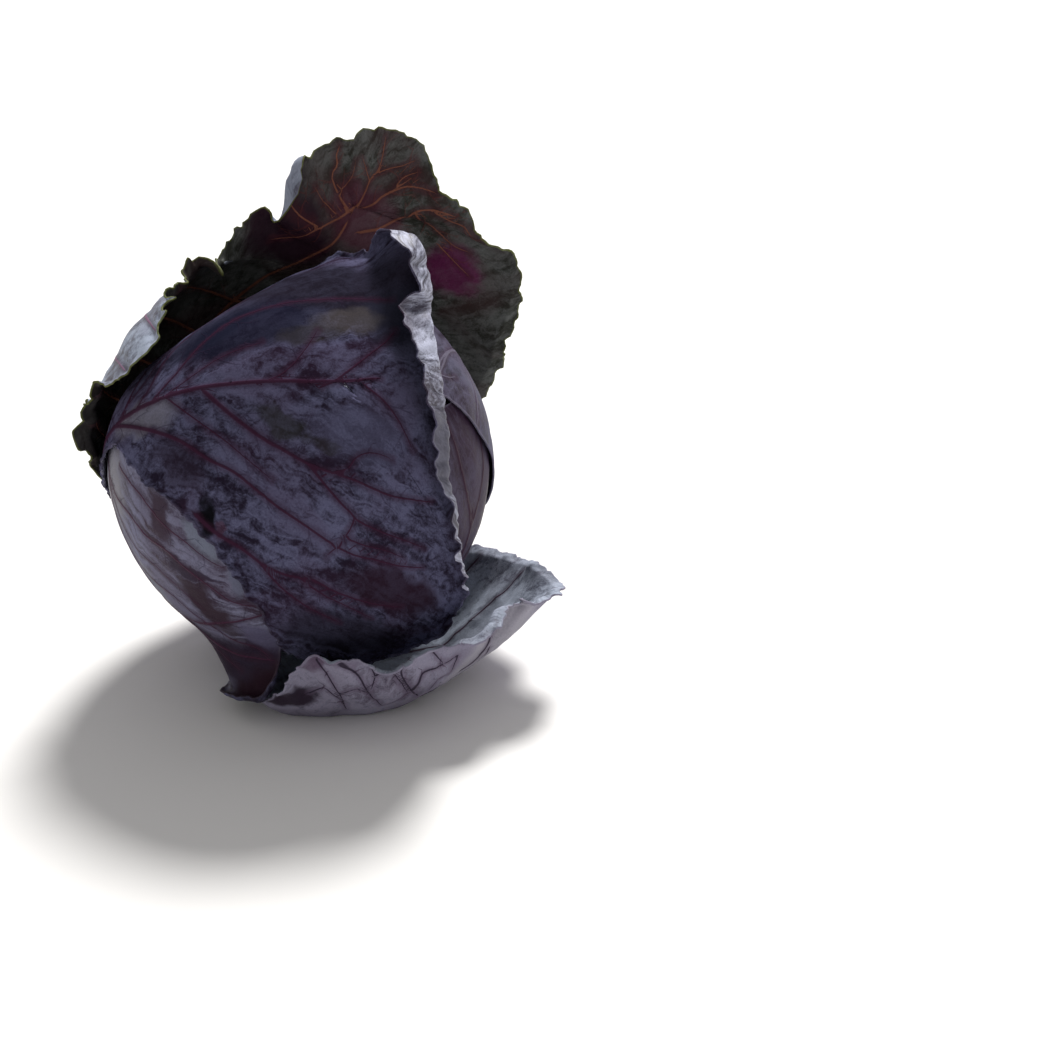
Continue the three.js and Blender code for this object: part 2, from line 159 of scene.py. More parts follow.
def leafSurface(leaf):
    # rings of points from the midrib out to the margin and over its turned rim
    m, rings, rimRings = leaf["columns"], leaf["rings"], leaf["rimRings"]
    c = np.arange(2 * m)
    j = np.where(c <= m, c, 2 * m - c) / m
    right, left = smoothRows(leaf["right"], j), smoothRows(leaf["left"], j)
    margin = np.where((c <= m)[:, None], right, left)
    # pairs of shares, along the margin and along the midrib, say where each column starts
    plain = ((0.2, 0), (0.8, 1))
    pairs = [np.array(leaf.get(side, plain), float).T for side in ("rightFeet", "leftFeet")]
    feet = int(m * min((np.diff(a) / np.diff(b)).min() for a, b in pairs))
    starts = np.where(c <= m, *[np.interp(j, a, b) for a, b in pairs])
    footIndex = np.rint(feet * starts).astype(int)
    midrib = smoothRows(leaf["midrib"], np.linspace(0, 1, feet + 1))
    foot = midrib[footIndex]
    share = np.linspace(0, 1, rings + 1)[:, None] ** leafShape["ringSpacing"]
    lift = foot[:, 2] + (margin[:, 2] - foot[:, 2]) * share ** leaf["power"]
    x = foot[:, 0] + (margin[:, 0] - foot[:, 0]) * share
    y = foot[:, 1] + (margin[:, 1] - foot[:, 1]) * share
    p = placeOnHead(leaf, x, y, lift)
    # waves that grow towards the margin, and smaller frills on them
    turn = c / len(c) * 2 * math.pi
    wave = sum(np.sin(n * turn + phase) for n, phase in leaf["waves"]) / 2
    p = p + gridNormals(p) * (margin[:, 3] * wave * share ** leafShape["waveRise"])[..., None]
    along = np.concatenate([[0], np.cumsum(np.linalg.norm(np.diff(p[-1], axis=0), axis=1))])
    line = np.stack([along, 0 * along, 0 * along], -1)
    frill = ripple(line, leaf["frillSize"], 3.7) + 0.5 * ripple(line, leaf["frillSize"] / 2.3, 9.1)
    free = np.clip((j - leafShape["fixedBase"]) / leafShape["fixedBase"], 0, 1)
    frill = leaf["frill"] * frill * free * share ** leafShape["frillRise"]
    p = p + gridNormals(p) * frill[..., None]
    # the rim, turned over a small radius
    back = max(1, rings // 8)
    edge, outward, normal = p[-1], unit(p[-1] - p[-1 - back]), gridNormals(p)[-1]
    tangent = unit(np.roll(edge, -4, 0) - np.roll(edge, 4, 0))
    slide = np.sum(outward * tangent, -1, keepdims=True)
    outward = unit(outward - leafShape["squareRim"] * slide * tangent)
    jag = ripple(line, leaf["jagSize"], 5.3) + 0.6 * ripple(line, leaf["jagSize"] / 2.7, 2.9)
    width = np.maximum(0.4, margin[:, 4] + leaf["jag"] * jag * free)
    bend = np.radians(margin[:, 5])
    rims, fold = [], head["foldRadius"]
    for ring in range(1, rimRings + 1):
        run = width * ring / rimRings
        angle = np.sign(bend) * np.minimum(run / fold, np.abs(bend))
        straight = run - np.abs(angle) * fold
        forward = fold * np.sin(np.abs(angle)) + straight * np.cos(angle)
        up = np.sign(bend) * fold * (1 - np.cos(angle)) + straight * np.sin(angle)
        rims.append(edge + outward * forward[:, None] + normal * up[:, None])
    p = np.concatenate([p, np.array(rims)])
    # each point's place on the leaf laid out flat, and how far it is from the free edge, in mm
    footX = np.interp(foot[:, 0], *midribLength(leaf))
    footY = foot[:, 1] * mmPerDegree
    reach = np.hypot(margin[:, 0] - foot[:, 0], margin[:, 1] - foot[:, 1]) + 1e-6
    away = (margin[:, :2] - foot[:, :2]) / reach[:, None]
    lengths = np.cumsum(np.linalg.norm(np.diff(p[:rings + 1], axis=0), axis=-1), axis=0)
    lengths = np.concatenate([np.zeros((1, len(c))), lengths])
    runs = width * np.arange(1, rimRings + 1)[:, None] / rimRings
    lengths = np.concatenate([lengths, lengths[-1] + runs])
    flat = np.stack([footX + away[:, 0] * lengths, footY + away[:, 1] * lengths,
                     lengths[-1] - lengths], -1)
    onRim = np.concatenate([np.zeros_like(share) * reach, runs / width])
    spine = np.stack([np.interp(midrib[:, 0], *midribLength(leaf)), midrib[:, 1] * mmPerDegree], -1)
    return {"points": p, "flat": flat, "onRim": onRim, "rings": rings, "spine": spine,
            "footIndex": footIndex, "along": np.broadcast_to(along, lengths.shape)}


def midribLength(leaf):
    # degrees along the midrib, and the real length up to each, in mm
    rows = smoothRows(leaf["midrib"], np.linspace(0, 1, 200))
    p = placeOnHead(leaf, rows[:, 0], rows[:, 1], rows[:, 2])
    length = np.concatenate([[0], np.cumsum(np.linalg.norm(np.diff(p, axis=0), axis=1))])
    return rows[:, 0], length


# veins, as curves on the flat leaf

def veinCurve(rows):
    # rows are x, y in mm on the flat leaf; samples lie a step apart
    rows = np.array(rows, float)
    length = np.hypot(*np.diff(rows, axis=0).T).sum()
    return smoothRows(rows, np.linspace(0, 1, max(4, int(length / veinShape["step"]))))


def branchVeins(curve, halfWidth, spacing, length, angle, rng):
    # side branches off a vein, bending towards its tip
    made, step = [], veinShape["step"]
    run = np.concatenate([[0], np.cumsum(np.hypot(*np.diff(curve, axis=0).T))])
    at, side = spacing * rng.uniform(0.5, 1.0), 1 if rng.random() < 0.5 else -1
    while at < run[-1] * 0.9:
        i = int(np.searchsorted(run, at))
        i = min(max(i, 1), len(curve) - 2)
        heading = math.atan2(*(curve[i + 1] - curve[i - 1])[::-1])
        heading += side * math.radians(angle * rng.uniform(0.75, 1.25))
        reach = length * rng.uniform(0.55, 1.15) * (1 - 0.4 * at / run[-1])
        pts, p = [curve[i]], curve[i].copy()
        wander = rng.uniform(-0.02, 0.02)
        for _ in range(max(8, int(reach / step))):
            heading += -side * 0.010 + wander * 0.3 + rng.normal(0, 0.035)
            p = p + step * np.array([math.cos(heading), math.sin(heading)])
            pts.append(p)
        made.append((np.array(pts), halfWidth))
        at += spacing * rng.uniform(0.7, 1.3)
        side = -side
    return made


def lateralVeins(leaf, surface):
    # evenly spread veins from the midrib to the margin: side (1 right, -1 left), count,
    # shares along the midrib where they start, shares along the margin where they end, half width
    made = []
    flat, m, rings = surface["flat"], leaf["columns"], surface["rings"]
    for side, count, start, end, halfWidth in leaf["laterals"]:
        for k in range(count):
            share = k / max(1, count - 1)
            s = start[0] + (start[1] - start[0]) * share
            e = end[0] + (end[1] - end[0]) * share
            a = surface["spine"][int(s * (len(surface["spine"]) - 1))]
            b = flat[rings, int(side * e * m)]
            middle = a + (b[:2] - a) * np.array([0.42, 0.58])
            made.append((veinCurve([a, middle, b[:2]]), halfWidth))
    return made


def veinField(flat, veins):
    # signed distance, plain distance and half width of the nearest vein, in mm
    samples, tangents, widths = [], [], []
    for curve, halfWidth in veins:
        t = unit(np.gradient(curve, axis=0))
        taper = np.linspace(1, 0.35, len(curve)) * halfWidth
        taper[-veinShape["taperEnd"]:] *= np.linspace(1, 0.1, veinShape["taperEnd"])
        samples.append(curve)
        tangents.append(t)
        widths.append(taper)
    samples, tangents = np.vstack(samples), np.vstack(tangents)
    widths = np.concatenate(widths)
    tree = kdtree.KDTree(len(samples))
    for i, q in enumerate(samples):
        tree.insert((q[0], q[1], 0), i)
    tree.balance()
    out = np.zeros(flat.shape[:-1] + (3,))
    points = flat.reshape(-1, 3)
    found = out.reshape(-1, 3)
    for k, q in enumerate(points):
        _, i, distance = tree.find((q[0], q[1], 0))
        d = q[:2] - samples[i]
        cross = tangents[i][0] * d[1] - tangents[i][1] * d[0]
        found[k] = (math.copysign(distance, cross), distance, widths[i])
    return found.reshape(out.shape)


def leafVeins(leaf, surface):
    rng = np.random.default_rng(leaf["seed"])
    midrib = veinCurve(surface["spine"][::8])
    ribs = [(midrib, leaf["midribHalfWidth"])]
    ribs += [(veinCurve(places), halfWidth) for halfWidth, places in leaf["veins"]]
    ribs += lateralVeins(leaf, surface)
    fine, finest = [], []
    for curve, _ in ribs[1:]:
        fine += branchVeins(curve, veinShape["fineHalf"], leaf["branchEvery"],
                            leaf["branchLength"], veinShape["fineAngle"], rng)
    for curve, _ in fine:
        finest += branchVeins(curve, veinShape["finestHalf"], veinShape["finestEvery"],
                              veinShape["finestLength"], veinShape["finestAngle"], rng)
    return ribs, fine + finest


# turning a surface into a leaf

def tidySelection():
    if bpy.context.object and bpy.context.object.mode != "OBJECT":
        bpy.ops.object.mode_set(mode="OBJECT")
    bpy.ops.object.select_all(action="DESELECT")


def buildLeaf(leaf, node, outerSkin, innerSkin):
    surface = leafSurface(leaf)
    p, flat = surface["points"], surface["flat"]
    ribs, fine = leafVeins(leaf, surface)
    rib, net = veinField(flat, ribs), veinField(flat, fine)
    # raised veins, the pillowed leaf between them, and a little unevenness
    ridge = np.exp(-(rib[..., 1] / np.maximum(rib[..., 2] * 1.3, 0.9)) ** 2)
    ridge = ridge * np.minimum(rib[..., 2], 2.2) * leaf["ridge"]
    pillow = 1 - np.exp(-(rib[..., 1] / 7) ** 2)
    small = 1 - np.exp(-(net[..., 1] / 2.2) ** 2)
    rough = ripple(p, 14, leaf["seed"]) + 0.45 * ripple(p, 5.5, leaf["seed"] + 1)
    onRim = surface["onRim"]
    creased = ripple(np.stack([surface["along"], onRim * 5, onRim], -1),
                     leaf.get("creaseSize", 4.2), leaf["seed"] + 2)
    relief = ridge + leaf["pillow"] * (pillow - 0.6) + leaf["quilt"] * (small - 0.6)
    relief = relief + leaf["rough"] * rough + leaf["crease"] * creased * np.minimum(1, onRim * 2)
    p = p + gridNormals(p) * relief[..., None]
    # columns that start at the same place on the midrib meet in one point there
    index = surface["footIndex"]
    meeting = [np.bincount(index, p[0, :, k]) / np.bincount(index) for k in range(3)]
    p[0] = np.stack(meeting, -1)[index]
    if leaf.get("onTable"):
        floor = -headCentre[2] + head["thickness"] / 2 + 0.02
        p[..., 2] = np.maximum(p[..., 2], floor)
    p = (p + headCentre) * mm
    # a grid is laid over the rings, then its seam and its midrib are merged
    rings, columns = p.shape[:2]
    tidySelection()
    bpy.ops.mesh.primitive_grid_add(x_subdivisions=columns, y_subdivisions=rings - 1, size=2)
    obj = bpy.context.object
    obj.name = obj.data.name = leaf["name"]
    count = len(obj.data.vertices)
    co = np.zeros(count * 3, np.float32)
    obj.data.vertices.foreach_get("co", co)
    co = co.reshape(-1, 3)
    column = np.rint((co[:, 0] + 1) / 2 * columns).astype(int) % columns
    ring = np.rint((co[:, 1] + 1) / 2 * (rings - 1)).astype(int)
    obj.data.vertices.foreach_set("co", p[ring, column].astype(np.float32).ravel())
    for label, values in (("leafPlace", flat), ("rib", rib), ("net", net)):
        layer = obj.data.attributes.new(label, "FLOAT_VECTOR", "POINT")
        layer.data.foreach_set("vector", values[ring, column].astype(np.float32).ravel())
    bpy.ops.object.mode_set(mode="EDIT")
    bpy.ops.mesh.select_all(action="SELECT")
    bpy.ops.mesh.remove_doubles(threshold=0.000002)
    bpy.ops.mesh.normals_make_consistent(inside=False)
    bpy.ops.object.mode_set(mode="OBJECT")
    turnOutwards(obj)
    obj.data.materials.append(outerSkin)
    obj.data.materials.append(innerSkin)
    solid = obj.modifiers.new("thickness", "SOLIDIFY")
    solid.thickness = head["thickness"] * mm
    solid.offset = 0
    solid.material_offset = 1
    solid.material_offset_rim = 1 if leaf.get("rimInner") else 0
    bpy.ops.object.modifier_apply(modifier=solid.name)
    bpy.ops.object.shade_smooth()
    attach(obj, "root")
    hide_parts(node)
    print("leaf", leaf["name"], len(obj.data.polygons), "faces")


def turnOutwards(obj):
    # the open sheet's normals are made to point away from the head
    centre = Vector(headCentre * mm)
    facing = sum(f.normal.dot(f.center - centre) * f.area for f in obj.data.polygons)
    if facing < 0:
        bpy.ops.object.mode_set(mode="EDIT")
        bpy.ops.mesh.select_all(action="SELECT")
        bpy.ops.mesh.flip_normals()
        bpy.ops.object.mode_set(mode="OBJECT")


# materials

def addNode(tree, kind, inputs=None, **settings):
    made = tree.nodes.new(kind)
    for name, value in settings.items():
        setattr(made, name, value)
    for name, value in (inputs or {}).items():
        if isinstance(value, bpy.types.NodeSocket):
            tree.links.new(value, made.inputs[name])
        else:
            made.inputs[name].default_value = value
    return made


def calc(tree, operation, *values):
    return addNode(tree, "ShaderNodeMath", dict(enumerate(values)),
                   operation=operation).outputs[0]


def ramp(tree, value, low, high, toLow=0.0, toHigh=1.0):
    made = addNode(tree, "ShaderNodeMapRange",
                   {"Value": value, "From Min": low, "From Max": high,
                    "To Min": toLow, "To Max": toHigh}, interpolation_type="SMOOTHSTEP")
    return made.outputs[0]


def blendColor(tree, factor, a, b, kind="MIX"):
    made = addNode(tree, "ShaderNodeMix", {0: factor}, data_type="RGBA", blend_type=kind)
    for socket, value in ((6, a), (7, b)):
        if isinstance(value, bpy.types.NodeSocket):
            tree.links.new(value, made.inputs[socket])
        else:
            made.inputs[socket].default_value = (*value, 1)
    return made.outputs[2]


def cloud(tree, vector, scale, detail=3.0, roughness=0.55, distortion=0.0):
    return addNode(tree, "ShaderNodeTexNoise",
                   {"Vector": vector, "Scale": scale, "Detail": detail,
                    "Roughness": roughness, "Distortion": distortion}).outputs[0]


def newMaterial(name):
    material = bpy.data.materials.new(name)
    material.use_nodes = True
    tree = material.node_tree
    tree.nodes.clear()
    out = addNode(tree, "ShaderNodeOutputMaterial")
    skin = addNode(tree, "ShaderNodeBsdfPrincipled")
    tree.links.new(skin.outputs[0], out.inputs[0])
    return material, tree, skin


def lineMask(tree, attribute, spread):
    # crisp lines from the signed distance to the nearest vein
    read = addNode(tree, "ShaderNodeAttribute", attribute_name=attribute)
    parts = addNode(tree, "ShaderNodeSeparateXYZ", {0: read.outputs["Vector"]})
    aside = calc(tree, "ABSOLUTE", parts.outputs[0])
    wide = calc(tree, "MULTIPLY", parts.outputs[2], spread)
    thin = calc(tree, "MULTIPLY", parts.outputs[2], 0.35 * spread)
    line = ramp(tree, aside, thin, wide, 1.0, 0.0)
    reach = calc(tree, "ADD", parts.outputs[2], 1.1)
    further = calc(tree, "ADD", parts.outputs[2], 2.4)
    near = ramp(tree, parts.outputs[1], reach, further, 1.0, 0.0)
    return calc(tree, "MULTIPLY", line, near)


def leafSkin(name, look):
    material, tree, skin = newMaterial(name)
    place = addNode(tree, "ShaderNodeAttribute", attribute_name="leafPlace").outputs["Vector"]
    parts = addNode(tree, "ShaderNodeSeparateXYZ", {0: place})
    flat = addNode(tree, "ShaderNodeCombineXYZ",
                   {0: parts.outputs[0], 1: parts.outputs[1]}).outputs[0]
    stir = addNode(tree, "ShaderNodeTexNoise", {"Vector": flat, "Scale": 0.09, "Detail": 4.0})
    shift = addNode(tree, "ShaderNodeVectorMath", {0: stir.outputs["Color"], 1: (0.5, 0.5, 0.5)},
                    operation="SUBTRACT").outputs[0]
    warped = addNode(tree, "ShaderNodeVectorMath",
                     {0: shift, 1: (look["stir"],) * 3, 2: flat},
                     operation="MULTIPLY_ADD").outputs[0]
    warped = addNode(tree, "ShaderNodeVectorMath", {0: warped, 1: (1, 1, 0)},
                     operation="MULTIPLY").outputs[0]
    patches = cloud(tree, flat, look["patchScale"], 5, 0.6, 0.6)
    # streaks that run the way the side veins do, from the midrib outwards and along
    bent = addNode(tree, "ShaderNodeSeparateXYZ", {0: warped})
    aside = calc(tree, "ABSOLUTE", calc(tree, "SUBTRACT", bent.outputs[1], look["middle"]))
    across = calc(tree, "MULTIPLY_ADD", aside, -look["slant"], bent.outputs[0])
    streaks = addNode(tree, "ShaderNodeCombineXYZ",
                      {0: calc(tree, "MULTIPLY", across, 0.13),
                       1: calc(tree, "MULTIPLY", bent.outputs[1], 0.035)}).outputs[0]
    streaks = cloud(tree, streaks, 1.0, 5, 0.65, 0.4)
    grain = cloud(tree, flat, 1.1, 4, 0.75)
    speck = cloud(tree, flat, look["speckScale"], 6, 0.7, 0.6)
    # wax bloom over dark skin
    wax = calc(tree, "MULTIPLY", calc(tree, "SUBTRACT", patches, 0.5), look["patch"])
    for part, weight in ((streaks, look["streak"]), (speck, look["speck"]), (grain, 0.35)):
        wax = calc(tree, "MULTIPLY_ADD", calc(tree, "SUBTRACT", part, 0.5), weight, wax)
    wax = ramp(tree, wax, 0.5 - look["wax"] - look["waxEdge"], 0.5 - look["wax"] + look["waxEdge"])
    color = blendColor(tree, wax, look["skin"], look["bloom"])
    tint = ramp(tree, cloud(tree, flat, 0.022, 3, 0.5, 0.8), 0.45, 0.62)
    tint = calc(tree, "MULTIPLY", tint, look["flush"])
    color = blendColor(tree, tint, color, look["flushColor"])
    for x, y, rx, ry, turn, hue, strength in look["spots"]:
        local = addNode(tree, "ShaderNodeMapping",
                        {"Vector": warped, "Location": (x, y, 0),
                         "Rotation": (0, 0, math.radians(turn)), "Scale": (rx, ry, 1)},
                        vector_type="TEXTURE")
        far = addNode(tree, "ShaderNodeVectorMath", {0: local.outputs[0]}, operation="LENGTH")
        spot = ramp(tree, far.outputs["Value"], 0.55, 1.1, strength, 0.0)
        color = blendColor(tree, spot, color, hue)
    mottle = calc(tree, "MULTIPLY_ADD", grain, 0.7, 0.65)
    tone = addNode(tree, "ShaderNodeCombineColor", {0: mottle, 1: mottle, 2: mottle}).outputs[0]
    color = blendColor(tree, 1.0, color, tone, "MULTIPLY")
    # a flush of colour beside the ribs
    ribParts = addNode(tree, "ShaderNodeSeparateXYZ",
                       {0: addNode(tree, "ShaderNodeAttribute",
                                   attribute_name="rib").outputs["Vector"]})
    beside = calc(tree, "MULTIPLY_ADD", speck, look["glowWidth"] * 2.4,
                  calc(tree, "SUBTRACT", 0.0, ribParts.outputs[1]))
    beside = ramp(tree, beside, 0.0, look["glowWidth"], 0.0, look["glow"])
    color = blendColor(tree, beside, color, look["glowColor"])
    # veins, the small net between them and the margin
    rib, net = lineMask(tree, "rib", look["ribSpread"]), lineMask(tree, "net", 1.6)
    color = blendColor(tree, calc(tree, "MULTIPLY", net, look["netStrength"]), color, look["net"])
    color = blendColor(tree, calc(tree, "MULTIPLY", rib, look["ribStrength"]), color, look["rib"])
    margin = ramp(tree, calc(tree, "MULTIPLY_ADD", grain, look["rimWidth"], parts.outputs[2]),
                  look["rimWidth"] * 0.7, look["rimWidth"] * 1.4, look["rimStrength"], 0.0)
    color = blendColor(tree, margin, color, look["rim"])
    tree.links.new(color, skin.inputs["Base Color"])
    gloss = ramp(tree, wax, 0.0, 1.0, look["roughDark"], look["roughWax"])
    gloss = calc(tree, "MULTIPLY_ADD", grain, 0.16, calc(tree, "SUBTRACT", gloss, 0.08))
    tree.links.new(gloss, skin.inputs["Roughness"])
    # relief too fine for the mesh
    height = calc(tree, "MULTIPLY", rib, 0.35)
    height = calc(tree, "MULTIPLY_ADD", net, look["netHeight"], height)
    height = calc(tree, "MULTIPLY_ADD", speck, 0.5, height)
    height = calc(tree, "MULTIPLY_ADD", grain, 0.12, height)
    bump = addNode(tree, "ShaderNodeBump", {"Height": height, "Strength": look["bump"],
                                            "Distance": 0.001})
    tree.links.new(bump.outputs[0], skin.inputs["Normal"])
    skin.inputs["Specular IOR Level"].default_value = look["shine"]
    return material


baseLook = {
    "skin": (0.015, 0.011, 0.022),
    "bloom": (0.092, 0.092, 0.160),
    "wax": 0.5,
    "waxEdge": 0.32,
    "patch": 1.3,
    "patchScale": 0.04,
    "streak": 1.2,
    "slant": 2.0,
    "middle": 5.0,
    "speck": 1.3,
    "speckScale": 0.2,
    "stir": 14,
    "glow": 0.5,
    "glowWidth": 2.5,
    "glowColor": (0.034, 0.012, 0.026),
    "flush": 0.25,
    "flushColor": (0.045, 0.018, 0.038),
    "spots": [],
    "rib": (0.038, 0.013, 0.029),
    "ribSpread": 1.3,
    "ribStrength": 0.9,
    "net": (0.022, 0.012, 0.028),
    "netStrength": 0.35,
    "netHeight": 0.2,
    "rim": (0.30, 0.28, 0.38),
    "rimWidth": 1.0,
    "rimStrength": 0.35,
    "roughDark": 0.42,
    "roughWax": 0.62,
    "bump": 0.6,
    "shine": 0.06,
}


# the leaf that closes over the front
frontLeaf = {
    "name": "frontLeaf",
    "layer": 0,
    "centre": (-0.05, -0.638, 0.768),
    "towards": (0.883, -0.311, 0.352),
    "power": 4,
    "waves": [(17, 0.4), (29, 2.1)],
    "columns": 280,
    "rings": 66,
    "rimRings": 18,
    "rightFeet": ((0.02, 0), (0.44, 0.86), (0.8, 0.88), (0.93, 1)),
    "frill": 0.35,
    "frillSize": 9,
    "jag": 2.6,
    "jagSize": 7,
    "ridge": 0.42,
    "pillow": 0.5,
    "quilt": 0.12,
    "rough": 0.28,
    "crease": 1.2,
    "creaseSize": 3.0,
    "seed": 11,
    "midribHalfWidth": 1.7,
    "branchEvery": 11,
    "branchLength": 15,
    "veins": [       # half width, and places on the flat leaf, in mm
        (0.95, [[124.3, 7.3], [128, 11], [139.2, 21.2], [149.5, 28.9], [157, 32.9],
            [166.8, 37.8], [176.3, 40.6], [185.5, 42.7], [193.4, 45.1], [202.5, 47.1],
            [214.1, 46.9], [222, 46]]),
        (0.6, [[166.8, 37.8], [175, 46.9], [181.7, 53.4], [186.4, 57.6],
            [184.8, 62.8], [180.9, 68.8], [174.8, 74.3]]),
        (0.5, [[186.6, 58], [192.8, 60.6], [204.7, 63.8], [214.2, 65.6],
            [222.3, 67.3]]),
        (0.9, [[64.9, 3.2], [85.4, 11.5], [101, 18.5], [114.5, 25.8],
            [127.1, 35.1], [137.1, 40.9], [147.3, 49.1], [156.4, 55.8], [166.2, 62], [176.5, 68.5],
            [186.6, 73.2], [198.2, 75.1], [210.8, 77.1], [224.5, 76.6]]),
        (0.4, [[182.5, 66.2], [191.8, 68.9], [201.4, 70.3], [212.2, 73.2]]),
        (0.9, [[119.2, 55], [128, 64.3], [138, 71.2], [147.9, 78.7], [158.4, 83.3],
            [168.4, 84.9], [177.8, 90.1], [189, 94.4], [201.4, 97.6], [216.8, 98.9]]),
        (0.6, [[144.6, 76.4], [154.2, 88.9], [162.2, 96.1], [171.8, 102.7],
            [182.5, 108.2]]),
        (0.45, [[162.9, 84.3], [173, 92.1], [185.3, 98.5], [200.4, 106.1]]),
        (0.4, [[176.3, 40.6], [182.7, 38.3], [185.7, 34], [190.5, 31.5],
            [195.6, 31.2], [201.1, 32.5]]),
        (0.6, [[95.8, 5.2], [109.1, -5.7], [120.3, -20], [130.3, -28.7],
            [142.1, -32.7], [155.2, -36], [167.4, -37.8], [180.4, -40.3], [195.9, -39.1]]),
        (0.5, [[85.7, 5.1], [93.3, -3.5], [98.3, -22.3], [109.9, -39.3],
            [125.6, -52.3], [141.1, -66]]),
        (0.4, [[101.9, 5.4], [116.5, -0.6], [131.4, -7.8], [146.6, -12.5]]),
        (0.5, [[72.4, 2.6], [81.4, -3.4], [89.3, -13.8], [93.1, -29.1]]),
        (0.6, [[171.2, 7], [176, 4.2], [182.5, -2.3], [187.6, -8], [195.3, -17],
            [199.4, -25]]),
        (0.4, [[148, 6.6], [156.5, 1.8], [163.6, -8.4], [168, -19]]),
        (0.4, [[106.3, 6.1], [121.1, 18.4], [133.2, 28.1], [143.9, 37.4],
            [152.5, 44.4]]),
        (0.5, [[188.4, 4.8], [196.3, 9.5], [203.6, 17.1], [209.8, 26.5]]),
        (0.3, [[216.9, -51.1], [222.2, -37.1]]),
    ],
    "laterals": [(-1, 3, (0.1, 0.4), (0.25, 0.5), 1.0)],
    "midrib": [[-105.6, 0.5, 0], [-60, 3, 0], [-25, 3.5, 0], [0, 4, 0], [18, 3, 0], [29, 0, 1]],
    "right": [
        [-105.6, 0.5, 0, 0, 1, 0], [-106, 6, 0, 0, 1, 0], [-97, 11, 0, 0, 1.5, 0],
        [-76, 10, 0.6, 0, 2, 0], [-56, 9, 0.8, 0.2, 2, 0], [-46.6, 15.6, 1, 0.3, 2, 0],
        [-35.9, 27.3, 1, 0.3, 2, 0], [-26.2, 35, 1, 0.4, 2, 0], [-17.5, 46, 1, 0.4, 2, 0],
        [-7.2, 63, 1.2, 0.4, 2, 0], [1, 84, 2, 0.5, 2, 0], [16, 99, 3, 0.5, 2, 0],
        [46, 94, 4, 0.5, 2, 30], [67, 76, 7, 0.8, 3, 120], [68, 56, 6, 0.8, 4, 150],
        [60.7, 46, 5, 1, 6, 155], [55.9, 38, 4, 1, 8, 158], [51.8, 30.8, 3, 1, 10, 160],
        [49.4, 21.5, 2.4, 1, 12, 160], [47.6, 13, 2.4, 1, 14, 158], [45.5, 4.7, 2.9, 1.2, 16, 153],
    ],
    "left": [
        [-105.6, 0.5, 0, 0, 1, 0], [-106, -6, 0, 0, 1, 0], [-102, -15, 0, 0, 1.5, 0],
        [-96, -28, 0.2, 0, 2, 0], [-80, -52, 0.2, 0.1, 2, 0], [-56, -68, 0.5, 0.2, 2, 0],
        [-28, -76, 1, 0.5, 2, 0], [-4, -70, 2, 0.6, 2, 0], [13, -58.5, 5, 0.8, 3, 20],
        [24.6, -49.3, 10, 1, 6, 60], [29, -42, 21, 1.2, 12, 110], [31.5, -37.5, 24, 1.2, 15, 125],
        [34, -33.5, 19, 1.2, 17, 130], [38.5, -23.8, 10, 1.5, 18, 138],
        [41.5, -12, 6, 1.3, 17, 143], [44, -3, 4, 1.3, 17, 148], [45.5, 4.7, 2.9, 1.2, 16, 153],
    ],
}
frontOuter = leafSkin("frontLeafOuter", {
    **baseLook,
    "bloom": (0.098, 0.098, 0.170),
    "shine": 0.0,
    "rimStrength": 0.1,
    "spots": [
        (90, 10, 26, 9, 8, (0.150, 0.145, 0.185), 0.75),        # pale by the base
        (112, 34, 20, 9, 40, (0.026, 0.018, 0.032), 0.6),       # darker below it
        # the dark spots from here down to the stain are painted shade where the back leaf shades
        # the top
        (168, -50, 66, 27, 14, (0.013, 0.011, 0.018), 0.86),    # painted shade under the back leaf, towards the top
        (120, -26, 30, 16, -28, (0.020, 0.021, 0.038), 0.8),
        (204, -30, 22, 20, 0, (0.024, 0.025, 0.042), 0.7),
        (138, -22, 36, 18, -12, (0.009, 0.010, 0.022), 0.84),
        (180, -26, 17, 8, -10, (0.086, 0.075, 0.074), 0.5),      # dry brown stain, partly painted light where light gets past the back leaf
        (188, 25, 24, 13, 10, (0.085, 0.085, 0.150), 0.55),
        (165, -17, 15, 6, -15, (0.026, 0.022, 0.018), 0.6),
        (157, 22, 13, 6, 30, (0.022, 0.022, 0.018), 0.65),      # olive patches
        (172, 30, 8, 3, 10, (0.022, 0.020, 0.016), 0.5),
        (124, 56, 5, 10, 20, (0.004, 0.004, 0.005), 0.97),      # torn black spot
        (129, 62, 3, 3, 0, (0.060, 0.020, 0.035), 0.6),
        (210, 90, 34, 14, 12, (0.020, 0.009, 0.017), 0.85),     # dark red band
        # painted shade on the lower part of the head, above the lower leaf
        (186, 115, 46, 16, 10, (0.016, 0.014, 0.024), 0.75),
    ],
})
frontInner = leafSkin("frontLeafInner", {
    **baseLook,
    # the pale bloom and dark skin are partly painted highlights and painted shade in the wrinkles
    # of the turned rim
    "skin": (0.040, 0.036, 0.062),
    "bloom": (0.50, 0.52, 0.66),
    "wax": 0.5,
    "speckScale": 0.4,
    "shine": 0.4,
    "rib": (0.12, 0.10, 0.16),
    # painted shade low on the turned rim
    "spots": [(232, 30, 26, 18, 60, (0.050, 0.046, 0.072), 0.8)],
})
buildLeaf(frontLeaf, "front_leaf", frontOuter, frontInner)


